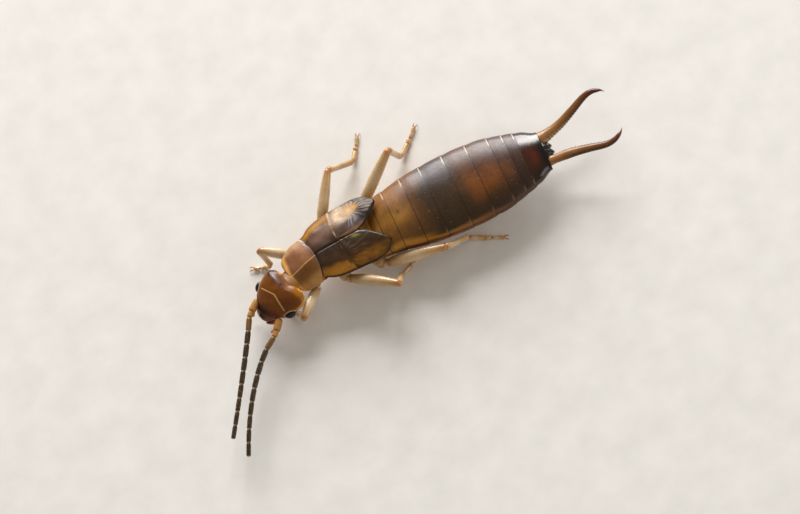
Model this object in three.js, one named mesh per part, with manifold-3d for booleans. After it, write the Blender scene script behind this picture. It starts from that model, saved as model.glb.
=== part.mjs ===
// A life-size earwig nymph of the last stage before the adult, standing still on six feet.
// Lengths are in millimetres and angles in degrees. The tail lies towards +X, the head towards -X,
// the animal's left side towards -Y, and the soles of the feet at z = 0.
import * as THREE from "three";
import { mergeVertices } from "three/addons/utils/BufferGeometryUtils.js";
import Module from "manifold-3d";

const wasm = await Module();
wasm.setup();

// Driving dimensions of the trunk, measured along its axis from the root of the abdomen.
const abdomenLength = 7.1;
const thoraxLength = 3.2;
const axisHeight = 1.06;
const thoraxYaw = 10.8;
const droopStart = 1.9;
const droop = 11;
const jointGap = 0.1;
const eyeGap = 0.05;
const roundSides = 28;

// Where each of the ten rings of the abdomen ends, as a share of the abdomen's length.
const ringEnds = [0.07, 0.148, 0.262, 0.378, 0.508, 0.64, 0.757, 0.832, 0.888, 1];
const ringBulge = 0.01;
const amberRings = 3;
const slateRings = 7;

// Rear ends of the three lengths of the thorax, forward of the abdomen.
const prothoraxRear = 2.05;
const mesothoraxRear = 1;
const neckFront = 3.1;

// Plates and wing pads.
const padThickness = 0.46;
const padTipThickness = 0.16;
const padTipReach = 0.73;
const padSag = 0.2;
const veinCount = 5;
const veinHeight = 0.05;
const pronotumThickness = 0.32;
const pronotumRimThickness = 0.18;
const pronotumSag = 0.26;
const pronotumReach = 0.2;
const pronotumCorner = 0.27;

// Head, in its own frame: x runs backwards from the line between the eyes.
const headPlace = new THREE.Vector3(-4.08, -0.88, 1.05);
const headYaw = 22;
const headPitch = 15;
const headRoll = 4;
const headRear = 0.93;
const headFront = -0.56;
const mouthFront = -0.82;
const mouthRear = -0.2;
const mouthDepth = -0.3;
const lipThickness = 0.18;
const jawThickness = 0.3;
const neckDrop = 0.08;
const headNotch = 0.12;
const eyeRadii = new THREE.Vector3(0.2, 0.11, 0.16);
const eyePlace = new THREE.Vector3(-0.02, 0.81, 0.02);
const eyeTurn = 25;

// Limbs.
const limbSides = 10;
const thinnestLimb = 0.23;
const soleDepth = 0.58;
const ankleRise = 0.12;
const kneeCap = 0.12;
const clawRoot = 0.075;
const clawTip = 0.02;
const clawHeight = 0.07;
const floorLevel = 0;

const smooth = THREE.MathUtils.smoothstep;
const lerp = THREE.MathUtils.lerp;
const radians = THREE.MathUtils.degToRad;

// A smooth curve through [place, value] pairs, level beyond both ends.
function profile(pairs) {
  const slope = pairs.map(([x, y], i) => {
    const before = pairs[Math.max(i - 1, 0)];
    const after = pairs[Math.min(i + 1, pairs.length - 1)];
    const left = (y - before[1]) / (x - before[0] || 1);
    const right = (after[1] - y) / (after[0] - x || 1);
    return left * right <= 0 ? 0 : (2 * left * right) / (left + right);
  });
  return (x) => {
    if (x <= pairs[0][0]) return pairs[0][1];
    const next = pairs.findIndex(([place]) => place >= x);
    if (next < 0) return pairs[pairs.length - 1][1];
    const span = pairs[next][0] - pairs[next - 1][0];
    const t = (x - pairs[next - 1][0]) / span;
    const rise = (3 - 2 * t) * t * t;
    const leave = span * slope[next - 1] * t * (1 - t) * (1 - t);
    const arrive = span * slope[next] * t * t * (t - 1);
    return lerp(pairs[next - 1][1], pairs[next][1], rise) + leave + arrive;
  };
}

// Trunk profiles by place along the axis: half width, and height of the back and depth of the belly
// from the axis. The back is the top of the plates and pads on the thorax, and of the rings behind them.
const trunkWidth = profile([
  [-3.2, 0.72],
  [-2.6, 0.84],
  [-2.05, 0.93],
  [-1.4, 1.16],
  [-0.9, 1.21],
  [0, 1.14],
  [1, 1.24],
  [2.1, 1.46],
  [3.7, 1.56],
  [4.9, 1.5],
  [5.9, 1.27],
  [6.6, 1.05],
  [7.1, 0.8],
]);
const trunkTop = profile([
  [-3.2, 0.44],
  [-2.6, 0.55],
  [-1.8, 0.6],
  [-0.9, 0.62],
  [0.7, 0.64],
]);
const abdomenTop = profile([
  [0, 0.1],
  [0.35, 0.26],
  [0.7, 0.4],
  [1.1, 0.54],
  [2.4, 0.62],
  [4.6, 0.62],
  [6.2, 0.52],
  [7.1, 0.38],
]);
const trunkBelly = profile([
  [-3.2, 0.3],
  [-2, 0.5],
  [0, 0.56],
  [3, 0.62],
  [5.5, 0.56],
  [7.1, 0.34],
]);
const coreWidth = profile([
  [-3.1, 0.5],
  [-2.4, 0.66],
  [-1.4, 0.84],
  [0, 0.98],
]);

// Bends the front of the straight trunk: first down, then towards the animal's left.
function bend(x, y, z) {
  const dip = radians(droop) / (thoraxLength - droopStart);
  let along = x;
  let height = z;
  if (x < -droopStart) {
    const turn = dip * (-droopStart - x);
    along = -droopStart - Math.sin(turn) / dip - (z - axisHeight) * Math.sin(turn) * -1;
    height = axisHeight - (1 - Math.cos(turn)) / dip + (z - axisHeight) * Math.cos(turn);
  }
  if (along >= 0) return new THREE.Vector3(along, y, height);
  const curve = radians(thoraxYaw) / thoraxLength;
  const turn = -along * curve;
  return new THREE.Vector3(
    -Math.sin(turn) / curve - y * Math.sin(turn),
    -(1 - Math.cos(turn)) / curve + y * Math.cos(turn),
    height,
  );
}

// Rounded-box power of a sine or cosine: 1 keeps the circle, less makes it squarer.
const squarer = (value, power) => Math.sign(value) * Math.abs(value) ** power;

// A point of a cross-section of the trunk, at an angle from the middle of the back.
function sectionPoint(x, angle, width, top, belly, flatness = 0.88) {
  const side = squarer(Math.sin(angle), flatness) * width;
  const up = squarer(Math.cos(angle), flatness);
  return bend(x, side, axisHeight + up * (up > 0 ? top : belly));
}

// Moves each corner of a basic shape by a rule, and makes a solid of it.
function shaped(geometry, rule) {
  geometry.deleteAttribute("normal");
  geometry.deleteAttribute("uv");
  geometry.clearGroups();
  const welded = mergeVertices(geometry, 1e-5);
  const place = welded.getAttribute("position");
  const point = new THREE.Vector3();
  for (let i = 0; i < place.count; i += 1) {
    point.fromBufferAttribute(place, i);
    const moved = rule(point.x, point.y, point.z);
    place.setXYZ(i, moved.x, moved.y, moved.z);
  }
  return outward(mergeVertices(welded, 1e-4));
}

// A solid whose faces point outwards, whichever way the rule turned them.
function outward(geometry) {
  const corners = new Uint32Array(geometry.index.array);
  const make = () =>
    new wasm.Manifold(
      new wasm.Mesh({
        numProp: 3,
        vertProperties: new Float32Array(geometry.getAttribute("position").array),
        triVerts: corners,
      }),
    );
  const solid = make();
  if (solid.volume() > 0) return solid;
  for (let i = 0; i < corners.length; i += 3) {
    [corners[i + 1], corners[i + 2]] = [corners[i + 2], corners[i + 1]];
  }
  return make();
}

// The largest closed surface of a solid.
function largest(solid) {
  return solid.decompose().reduce((a, b) => (b.volume() > a.volume() ? b : a));
}

// A closed drum: `rule` gets the share of the way along it, the angle round it and the share of the
// way out from its axis.
function drum(sides, lengths, rule) {
  const geometry = new THREE.CylinderGeometry(1, 1, 1, sides, lengths);
  return shaped(geometry, (x, y, z) => rule(0.5 - y, Math.atan2(x, z), Math.min(1, Math.hypot(x, z))));
}

// A closed slab: `rule` gets the shares of the way across, along and up through it.
function slab(across, along, rule) {
  const geometry = new THREE.BoxGeometry(1, 1, 1, across, along, 1);
  return shaped(geometry, (x, y, z) => rule(x + 0.5, y + 0.5, z + 0.5));
}

// Unit vectors square to a direction, the second one as upright as it can be.
function crossAxes(direction) {
  const guide = Math.abs(direction.z) < 0.9 ? new THREE.Vector3(0, 0, 1) : new THREE.Vector3(1, 0, 0);
  const side = new THREE.Vector3().crossVectors(direction, guide).normalize();
  return [side, new THREE.Vector3().crossVectors(side, direction).normalize()];
}

// A straight tube between two joints. An end with a neighbour lies on the plane that halves the angle to
// it, half a gap short, and an end without one is square. `radius` gives [across, upright] by the share
// of the way, and `sink` how far the tube's middle lies below the straight line.
function strut({ from, to, before, after, radius, sink, lengths = 3, sides = limbSides, floor = -Infinity }) {
  const direction = to.clone().sub(from).normalize();
  const facing = (neighbour, point, sign) => {
    if (!neighbour) return direction;
    const other = point.clone().sub(neighbour).normalize().multiplyScalar(sign);
    return direction.clone().add(other).normalize();
  };
  const startFace = facing(before, from, 1);
  const endFace = facing(after, to, -1);
  const setBack = (face, neighbour) => (neighbour ? jointGap / 2 / direction.dot(face) : 0);
  const start = from.clone().addScaledVector(direction, setBack(startFace, before));
  const end = to.clone().addScaledVector(direction, -setBack(endFace, after));
  const [side, up] = crossAxes(direction);
  return drum(sides, lengths, (along, angle, out) => {
    const [across, upright] = radius(along);
    const offset = side
      .clone()
      .multiplyScalar(out * across * Math.sin(angle))
      .addScaledVector(up, out * upright * Math.cos(angle));
    const slide = (face) => -offset.dot(face) / direction.dot(face);
    const point = start
      .clone()
      .lerp(end, along)
      .add(offset)
      .addScaledVector(direction, lerp(slide(startFace), slide(endFace), along));
    point.z = Math.max(point.z - (sink ? sink(along) : 0), floor);
    return point;
  });
}

// A tube along a curve, with [across, upright] radii by the share of the way.
function tube(curve, lengths, sides, radius, floor = -Infinity) {
  return drum(sides, lengths, (along, angle, out) => {
    const [across, upright] = radius(along);
    const [side, up] = crossAxes(curve.getTangentAt(along));
    const point = curve
      .getPointAt(along)
      .addScaledVector(side, out * across * Math.sin(angle))
      .addScaledVector(up, out * upright * Math.cos(angle));
    point.z = Math.max(point.z, floor);
    return point;
  });
}

const model = new THREE.Group();

// Adds a solid to a group of the model as a named mesh with its own material, in that group's frame.
function add(name, solid, colour, { roughness = 0.4, group = model } = {}) {
  const made = largest(solid).getMesh();
  const geometry = new THREE.BufferGeometry();
  geometry.setAttribute("position", new THREE.BufferAttribute(made.vertProperties.slice(), 3));
  geometry.setIndex(new THREE.BufferAttribute(made.triVerts.slice(), 1));
  group.updateWorldMatrix(true, false);
  geometry.applyMatrix4(group.matrixWorld.clone().invert());
  geometry.computeVertexNormals();
  const material = new THREE.MeshStandardMaterial({ color: colour, roughness, metalness: 0 });
  const mesh = new THREE.Mesh(geometry, material);
  mesh.name = name;
  group.add(mesh);
}

// A group of the model that stands at a place of its own.
function placedGroup(place) {
  const group = new THREE.Group();
  group.position.copy(place);
  model.add(group);
  return group;
}

const colours = {
  head: 0x6a3410,
  eye: 0x101214,
  mouth: 0x6e2208,
  antenna: 0x2e240e,
  honey: 0xd2af6e,
  neck: 0xb98a3c,
  pronotum: 0x82603c,
  forePad: 0x4a3420,
  hindPad: 0x3a2c22,
  thorax: 0xa87a3a,
  amber: 0xaa7d37,
  slate: 0x3c373c,
  tail: 0x56342a,
  cercus: 0xa86a30,
};

const sides = { left: -1, right: 1 };

// The ten rings of the abdomen, each swelling a little between its joints.
ringEnds.forEach((end, index) => {
  const front = (index ? ringEnds[index - 1] : 0) * abdomenLength + jointGap / 2;
  const rear = end * abdomenLength - (index < ringEnds.length - 1 ? jointGap / 2 : 0);
  const swell = (along) => 1 + ringBulge * (Math.sin(Math.PI * along) + along);
  const ring = drum(roundSides, 3, (along, angle, out) => {
    const x = lerp(front, rear, along);
    const size = out * swell(along);
    return sectionPoint(x, angle, trunkWidth(x) * size, abdomenTop(x) * size, trunkBelly(x) * size);
  });
  const colour = index < amberRings ? colours.amber : index < slateRings ? colours.slate : colours.tail;
  add("abdomen_" + String(index + 1).padStart(2, "0"), ring, colour);
});

// A length of the thorax below its plate, or the clear room it needs when `spare` is given.
function thoraxCore(front, rear, cover, spare = 0) {
  return drum(20, 3, (along, angle, out) => {
    const x = lerp(front - spare, rear + spare, along);
    const top = trunkTop(x) - cover - jointGap + spare;
    return sectionPoint(x, angle, out * (coreWidth(x) + spare), out * top, out * (trunkBelly(x) + spare));
  });
}

const cores = {
  prothorax: [-neckFront, -prothoraxRear - jointGap / 2, pronotumThickness],
  mesothorax: [-prothoraxRear + jointGap / 2, -mesothoraxRear - jointGap / 2, padThickness],
  metathorax: [-mesothoraxRear + jointGap / 2, -jointGap / 2, padThickness],
};
Object.entries(cores).forEach(([name, [front, rear, cover]]) => {
  add(name, thoraxCore(front, rear, cover), colours.thorax);
});

// A point of a plate that lies over the thorax like a roof tile: `u` runs from -1 to 1 across it.
function platePoint(x, u, half, sag, depth) {
  return bend(x, u * half, axisHeight + trunkTop(x) - sag * Math.abs(u) ** 2.2 - depth);
}

// The shield over the first length of the thorax: nearly square, with rounded hind corners.
const pronotumWidth = profile([
  [0, 0.8],
  [0.15, 0.88],
  [0.6, 0.96],
  [0.88, 0.96],
  [1, 0.84],
]);
const pronotumRear = (u) => -prothoraxRear - jointGap / 2 - 0.16 * Math.abs(u) ** 3;
const pronotumFront = (u) => -thoraxLength - pronotumReach + pronotumCorner * Math.abs(u) ** 4;

// The shield itself, or with `spare` the clear room below it.
function pronotumPlate(spare = 0) {
  return slab(12, 6, (across, along, up) => {
    const u = 2 * across - 1;
    const x = lerp(pronotumFront(u), pronotumRear(u), along);
    const edge = Math.max(Math.abs(u), 1 - 2 * along, 2 * along - 1);
    const thick = lerp(pronotumThickness, pronotumRimThickness, smooth(edge, 0.35, 1)) + spare;
    return platePoint(x, u, pronotumWidth(along), pronotumSag, (1 - up) * thick);
  });
}
add("pronotum", pronotumPlate(), colours.pronotum);

// A wing pad covers one side of the thorax; `across` runs from the middle of the back to the flank.
const padWidth = profile([
  [-2.2, 0.95],
  [-1.8, 1.14],
  [-1.35, 1.25],
  [-0.6, 1.3],
  [0.1, 1.33],
  [0.7, 1.22],
]);
function wingPad(side, { front, rear, thickness, vein }) {
  return slab(10, 7, (across, along, up) => {
    const x = lerp(front(across), rear(across), along);
    const inner = jointGap / 2 / padWidth(x);
    const depth = (1 - up) * thickness(across, along, x) - (up > 0.5 ? vein(across, along) : 0);
    return platePoint(x, side * lerp(inner, 1, across), padWidth(x), padSag, depth);
  });
}

// Fore-wing pads: the hind edge slants back towards the middle.
const forePadRear = (across) => -mesothoraxRear - jointGap / 2 - 0.1 + 0.14 * across ** 2;
const forePadFront = (across) => -prothoraxRear + jointGap / 2 - 0.16 * across ** 3;
// Hind-wing pads: each ends in a blunt point towards the flank, so that a notch opens between them.
const hindPadFront = (across) => forePadRear(across) + jointGap;
const hindPadRear = profile([
  [0, -0.24],
  [0.09, 0],
  [0.23, 0.24],
  [0.48, 0.56],
  [0.7, padTipReach],
  [0.83, 0.62],
  [0.93, 0.44],
  [1, -0.08],
]);

Object.entries(sides).forEach(([name, side]) => {
  const fore = wingPad(side, {
    front: forePadFront,
    rear: forePadRear,
    thickness: (across) => lerp(padThickness, padTipThickness, smooth(across, 0.55, 1)),
    vein: () => 0,
  });
  add("fore_wing_pad_" + name, fore, colours.forePad);
  const hind = wingPad(side, {
    front: hindPadFront,
    rear: hindPadRear,
    thickness: (across, along, x) => {
      const rim = Math.max(smooth(across, 0.55, 1), smooth(along, 0.3, 1));
      const room = Math.max(trunkTop(x) - abdomenTop(x) - jointGap, padTipThickness);
      return Math.min(lerp(padThickness, padTipThickness, rim), x > -0.1 ? room : padThickness);
    },
    vein: (across, along) => {
      const ray = 0.5 - 0.5 * Math.cos(across * veinCount * 2 * Math.PI);
      return veinHeight * ray * smooth(along, 0.2, 0.5) * (1 - smooth(along, 0.8, 1));
    },
  });
  add("hind_wing_pad_" + name, hind, colours.hindPad);
});

// The head's group carries the eyes, mouth and antennae, turned and nodded as the head is.
const headGroup = placedGroup(headPlace);
headGroup.rotation.set(radians(headRoll), -radians(headPitch), radians(headYaw), "ZYX");
headGroup.updateWorldMatrix(true, false);
const headPoint = (x, y, z) => headGroup.localToWorld(new THREE.Vector3(x, y, z));

const headWidth = profile([
  [-0.8, 0.1],
  [-0.72, 0.22],
  [-0.56, 0.4],
  [-0.37, 0.58],
  [-0.15, 0.76],
  [0, 0.84],
  [0.25, 0.9],
  [0.5, 0.935],
  [0.68, 0.9],
  [0.8, 0.79],
  [0.88, 0.62],
  [0.93, 0.42],
]);
const headTop = profile([
  [-0.8, 0.02],
  [-0.56, 0.16],
  [-0.15, 0.33],
  [0.3, 0.42],
  [0.6, 0.39],
  [0.93, 0.18],
]);
const headBottom = profile([
  [-0.8, 0.1],
  [-0.56, 0.22],
  [-0.15, 0.34],
  [0.3, 0.4],
  [0.6, 0.36],
  [0.93, 0.18],
]);

// The head capsule, or the clear room that its neighbours leave round it.
function headShell(front, rear, lengths, spare = 0) {
  return drum(24, lengths, (along, angle, out) => {
    const x = lerp(rear, front, along);
    const width = out * (headWidth(x) + spare);
    const y = squarer(Math.sin(angle), 0.9) * width;
    const up = squarer(Math.cos(angle), 0.9) * out;
    const z = up * ((up > 0 ? headTop(x) : headBottom(x)) + spare);
    const notch = headNotch * Math.exp(-((y / 0.36) ** 2)) * smooth(x, 0.35, headRear);
    return headPoint(x - notch, y, z);
  });
}

// An eye lies along the side of the head, which widens towards its rear.
function eyeBall(side, spare = 0) {
  const ball = new THREE.SphereGeometry(1, 12, 8);
  const turn = side * radians(eyeTurn);
  return shaped(ball, (x, y, z) => {
    const long = x * (eyeRadii.x + spare);
    const wide = y * (eyeRadii.y + spare);
    return headPoint(
      eyePlace.x + long * Math.cos(turn) - wide * Math.sin(turn),
      side * eyePlace.y + long * Math.sin(turn) + wide * Math.cos(turn),
      eyePlace.z + z * (eyeRadii.z + spare),
    );
  });
}

const headRoom = headShell(headFront - jointGap, headRear + jointGap, 12, jointGap);
let head = headShell(headFront, headRear, 12);
Object.entries(sides).forEach(([name, side]) => {
  head = head.subtract(eyeBall(side, eyeGap));
  add("eye_" + name, eyeBall(side), colours.eye, { roughness: 0.1, group: headGroup });
});
add("head", head, colours.head, { roughness: 0.2, group: headGroup });

// Jaws and lips, a blunt wedge below and in front of the face, with two feelers for tasting.
const mouthWidth = profile([
  [mouthFront, 0.2],
  [-0.7, 0.36],
  [-0.5, 0.44],
  [mouthRear, 0.3],
]);
const jaws = drum(14, 5, (along, angle, out) => {
  const x = lerp(mouthRear, mouthFront, along);
  const height = lerp(lipThickness, jawThickness, smooth(x, mouthFront, -0.5)) * out;
  return headPoint(x, out * mouthWidth(x) * Math.sin(angle), mouthDepth + height * Math.cos(angle));
});
const palps = Object.values(sides).map((side) => {
  const line = [
    headPoint(-0.45, side * 0.2, mouthDepth),
    headPoint(-0.62, side * 0.5, mouthDepth - 0.1),
    headPoint(-0.82, side * 0.56, mouthDepth - 0.16),
    headPoint(-1.05, side * 0.46, mouthDepth - 0.24),
  ];
  const size = profile([
    [0, 0.14],
    [0.6, 0.12],
    [0.85, 0.1],
    [1, 0.05],
  ]);
  return tube(new THREE.CatmullRomCurve3(line), 6, 8, (along) => [size(along), size(along)]);
});
const mouth = palps.reduce((whole, palp) => whole.add(palp), jaws).subtract(headRoom);
add("mouthparts", mouth, colours.mouth, { roughness: 0.3, group: headGroup });

// The soft neck between the head and the first length of the thorax.
const neckBack = bend(-neckFront + 0.3, 0, axisHeight - neckDrop);
const neckTube = strut({
  from: neckBack,
  to: headPoint(0.3, 0, -0.02),
  radius: (along) => [lerp(0.5, 0.46, along), lerp(0.26, 0.27, along)],
  sides: 16,
  lengths: 2,
});
const [proFront, proRear, proCover] = cores.prothorax;
const neckRooms = [headRoom, thoraxCore(proFront, proRear, proCover, jointGap), pronotumPlate(jointGap)];
add("neck", neckRooms.reduce((rest, room) => rest.subtract(room), neckTube), colours.neck);

// Antennae: a stout first piece, a short second one, then ten beads drawn out in a whip. The whip is
// made in three lengths, which meet at the joints named here.
const beadCount = 10;
const baseStart = 1;
const middleStart = 4;
const tipStart = 8;
const antennaShape = {
  scape: 0.52,
  pedicel: 0.25,
  bead: 0.47,
  socket: new THREE.Vector3(-0.39, 0.55, -0.03),
};
const antennaPose = {
  right: { scapeYaw: 220, start: 244, end: 238, curl: 0.5 },
  left: { scapeYaw: 235, start: 217, end: 247, curl: 0.55 },
};

function antennaJoints(name, side) {
  const pose = antennaPose[name];
  const { scape, pedicel, bead, socket } = antennaShape;
  const joints = [headPoint(socket.x, side * socket.y, socket.z)];
  const step = (yaw, lift, length) => {
    const flat = length * Math.cos(radians(lift));
    const last = joints[joints.length - 1];
    const move = new THREE.Vector3(
      flat * Math.cos(radians(yaw)),
      flat * Math.sin(radians(yaw)),
      length * Math.sin(radians(lift)),
    );
    joints.push(last.clone().add(move));
  };
  step(pose.scapeYaw, 4, scape);
  step(lerp(pose.scapeYaw, pose.start, 0.4), 4, pedicel);
  for (let i = 0; i < beadCount; i += 1) {
    const share = (i / (beadCount - 1)) ** pose.curl;
    step(lerp(pose.start, pose.end, share), lerp(2, -4, i / (beadCount - 1)), bead);
  }
  return joints;
}

// A string of beads with thin joints, from one joint of the antenna to another.
function beadString(joints, first, last, thick, thin) {
  const curve = new THREE.CatmullRomCurve3(joints.slice(first, last + 1));
  const whole = curve.getLength();
  const count = last - first;
  const lengths = count * 2;
  return drum(limbSides, lengths, (along, angle, out) => {
    const clear = jointGap / 2 / whole;
    const share = lerp(clear, last === joints.length - 1 ? 1 : 1 - clear, along);
    const waist = Math.round(along * lengths) % 2 ? 1 : 0.88;
    const radius = out * waist * lerp(thick, thin, along);
    const [side, up] = crossAxes(curve.getTangentAt(share));
    return curve
      .getPointAt(share)
      .addScaledVector(side, radius * Math.sin(angle))
      .addScaledVector(up, radius * Math.cos(angle));
  });
}

Object.entries(sides).forEach(([name, side]) => {
  const joints = antennaJoints(name, side);
  const root = headPoint(0, side * 0.3, 0);
  const scape = strut({
    from: root,
    to: joints[0],
    radius: () => [thinnestLimb * 0.8, thinnestLimb * 0.8],
    lengths: 1,
  }).add(
    strut({
      from: joints[0].clone().lerp(joints[1], -0.3),
      to: joints[1],
      after: joints[2],
      radius: (along) => {
        const size = thinnestLimb * (0.9 + 0.2 * Math.sin(Math.PI * along));
        return [size, size];
      },
    }),
  );
  const inHead = { group: headGroup };
  const [base, middle, tip] = [thinnestLimb, thinnestLimb * 0.95, thinnestLimb * 0.86];
  const end = beadCount + 2;
  add("antenna_scape_" + name, scape.subtract(headRoom), colours.honey, inHead);
  const baseBeads = beadString(joints, baseStart, middleStart, base, middle);
  const middleBeads = beadString(joints, middleStart, tipStart, middle, tip);
  const tipBeads = beadString(joints, tipStart, end, tip, thinnestLimb * 0.4);
  add("antenna_base_" + name, baseBeads, colours.honey, inHead);
  add("antenna_middle_" + name, middleBeads, colours.antenna, inHead);
  add("antenna_tip_" + name, tipBeads, colours.antenna, inHead);
});

// Legs. Angles are measured from the tail towards the leg's own side; `rise` lifts the femur.
// The tibia's slope follows from its length and the height it comes down through.
const legs = {
  fore: { root: [-2.55, 0.72, 0.68], coxa: -2.6, femur: 1.45, tibia: 0.94, tarsus: 0.74, thick: 0.25 },
  mid: { root: [-1.45, 1.08, 0.74], coxa: -1.5, femur: 2.27, tibia: 1.5, tarsus: 1.15, thick: 0.26 },
  hind: { root: [0.05, 1.16, 0.56], coxa: -0.35, femur: 2.5, tibia: 1.38, tarsus: 1.4, thick: 0.26 },
};
const legPose = {
  fore_right: { femur: 150, rise: 18, tibia: -63, tarsus: 158 },
  fore_left: { femur: 131, rise: 13, tibia: -101, tarsus: -134 },
  mid_right: { femur: 57.5, rise: 15, tibia: 23, tarsus: 60 },
  mid_left: { femur: 41, rise: 19, tibia: -75, tarsus: -30 },
  hind_right: { femur: 34, rise: 24, tibia: 30, tarsus: 46 },
  hind_left: { femur: 17.5, rise: 14.5, tibia: -25, tarsus: 25 },
};
const ankleHeight = thinnestLimb * soleDepth + ankleRise;

function step(from, yaw, side, flat, lift) {
  return from
    .clone()
    .add(new THREE.Vector3(flat * Math.cos(radians(yaw)), side * flat * Math.sin(radians(yaw)), lift));
}

// The foot: a long, a short and a long piece in line on the floor, with two claws at its end.
function foot(ankle, toe, shin) {
  const soleHeight = thinnestLimb * soleDepth;
  const waist = profile([
    [0, 0.9],
    [0.3, 1],
    [0.42, 0.8],
    [0.52, 1],
    [0.6, 0.78],
    [0.8, 0.84],
    [1, 0.6],
  ]);
  const pad = strut({
    from: ankle,
    to: toe,
    before: shin,
    radius: (along) => [thinnestLimb * waist(along), thinnestLimb * waist(along)],
    sink: (along) => (ankleHeight - soleHeight) * smooth(along, 0, 0.25),
    lengths: 8,
    sides: 8,
    floor: floorLevel,
  });
  const ahead = toe.clone().sub(ankle).normalize();
  const aside = new THREE.Vector3(-ahead.y, ahead.x, 0);
  const claws = [-1, 1].map((hand) => {
    const along = (reach, spread, height) =>
      toe.clone().addScaledVector(ahead, reach).addScaledVector(aside, hand * spread).setZ(height);
    const curve = new THREE.QuadraticBezierCurve3(
      along(-0.14, 0.05, soleHeight),
      along(0.12, 0.13, soleHeight),
      along(0.21, 0.15, clawHeight),
    );
    const size = (share) => lerp(clawRoot, clawTip, share);
    return tube(curve, 3, 5, (share) => [size(share), size(share)], floorLevel);
  });
  return claws.reduce((whole, claw) => whole.add(claw), pad);
}

// The clear room round the body that the legs keep out of.
const abdomenRoot = drum(roundSides, 3, (along, angle, out) => {
  const x = lerp(0, ringEnds[3] * abdomenLength, along);
  const size = 1 + ringBulge;
  const height = abdomenTop(x) * size + jointGap;
  const width = out * (trunkWidth(x) * size + jointGap);
  return sectionPoint(x, angle, width, out * height, out * (trunkBelly(x) * size + jointGap));
});
const coreRooms = Object.values(cores).map((core) => thoraxCore(...core, jointGap));

Object.entries(legs).forEach(([pair, leg]) => {
  Object.entries(sides).forEach(([name, side]) => {
    const pose = legPose[pair + "_" + name];
    const [x, y, z] = leg.root;
    const inside = bend(leg.coxa, side * 0.3, z + 0.12);
    const hip = bend(x, side * y, z);
    const femurFlat = leg.femur * Math.cos(radians(pose.rise));
    const knee = step(hip, pose.femur, side, femurFlat, leg.femur * Math.sin(radians(pose.rise)));
    const drop = knee.z - ankleHeight;
    const ankle = step(knee, pose.tibia, side, Math.sqrt(leg.tibia ** 2 - drop ** 2), -drop);
    const toe = step(ankle, pose.tarsus, side, leg.tarsus, 0);
    const coxa = strut({
      from: inside,
      to: hip,
      after: knee,
      radius: (along) => [lerp(0.3, 0.26, along), lerp(0.28, 0.25, along)],
      lengths: 2,
    });
    const clear = (solid) => (pair === "hind" ? solid.subtract(abdomenRoot) : solid);
    const bare = coreRooms.reduce((rest, room) => rest.subtract(room), clear(coxa));
    const tag = pair + "_" + name;
    const inLeg = { group: placedGroup(hip) };
    add("coxa_" + tag, bare, colours.honey, inLeg);
    const femurSize = (spare) => (along) => {
      const calf = 1 + 0.1 * Math.sin(Math.PI * Math.min(1, along * 1.4));
      const cap = 1 - 0.25 * smooth(along, 0.93, 1);
      const size = lerp(leg.thick, thinnestLimb, along) * calf * cap + spare;
      return [size, size];
    };
    const tip = knee.clone().sub(hip).setLength(leg.femur + kneeCap).add(hip);
    const femur = { from: hip, to: tip, before: inside, radius: femurSize(0), lengths: 6 };
    add("femur_" + tag, clear(strut(femur)), colours.honey, inLeg);
    const past = knee.clone().sub(hip).setLength(leg.femur + kneeCap + jointGap).add(hip);
    const kneeRoom = strut({ from: hip, to: past, radius: femurSize(jointGap), lengths: 6 });
    const tibiaSize = (along) => [thinnestLimb, lerp(thinnestLimb, thinnestLimb * 0.92, along)];
    const shin = strut({ from: knee, to: ankle, after: toe, radius: tibiaSize, lengths: 2 });
    add("tibia_" + tag, shin.subtract(kneeRoom), colours.honey, inLeg);
    add("tarsus_" + tag, foot(ankle, toe, knee), colours.honey, inLeg);
  });
});

// Tail: a short plate between the roots of the two forceps, which are raised and lyre-shaped.
const tailPlate = {
  length: 0.26,
  halfWidth: 0.11,
  endHalfWidth: 0.09,
  height: 0.44,
  endHeight: 0.26,
  rise: 0.05,
};
const pygidium = slab(4, 2, (across, along, up) => {
  const x = abdomenLength + jointGap + tailPlate.length * along;
  const y = (2 * across - 1) * lerp(tailPlate.halfWidth, tailPlate.endHalfWidth, along);
  const height = (up - 0.5) * lerp(tailPlate.height, tailPlate.endHeight, along);
  return new THREE.Vector3(x, y, axisHeight + tailPlate.rise + height);
});
add("pygidium", pygidium, colours.tail);

const cercusLine = [
  [7.16, 0.46, 0],
  [7.9, 0.62, 0.12],
  [8.6, 0.86, 0.28],
  [9.15, 1.07, 0.4],
  [9.5, 1.1, 0.48],
  [9.8, 0.98, 0.54],
  [9.94, 0.84, 0.56],
];
const cercusSpread = { left: -2, right: 1 };
const cercusSize = profile([
  [0, 0.28],
  [0.1, 0.24],
  [0.3, 0.19],
  [0.7, 0.17],
  [0.88, 0.12],
  [1, 0.03],
]);
Object.entries(sides).forEach(([name, side]) => {
  const spread = Math.tan(radians(cercusSpread[name]));
  const line = cercusLine.map(([x, y, lift]) => {
    const reach = y + (x - abdomenLength) * spread;
    return new THREE.Vector3(x + jointGap / 2, side * reach, axisHeight + lift);
  });
  const curve = new THREE.CatmullRomCurve3(line);
  const arm = tube(curve, 14, 12, (along) => [cercusSize(along), cercusSize(along) * 0.95]);
  add("cercus_" + name, arm, colours.cercus);
});

// The origin lies on the floor, under the middle of the animal's bounding box.
const room = new THREE.Box3().setFromObject(model, true);
const centre = room.getCenter(new THREE.Vector3());
centre.z = room.min.z;
model.children.forEach((child) => child.position.sub(centre));

export default model;
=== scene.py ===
"""A life-size earwig nymph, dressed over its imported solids: shell plates, skin, limbs and bristles."""

import math

import bpy
import numpy as np
from mathutils import Euler, Matrix, Vector


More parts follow.
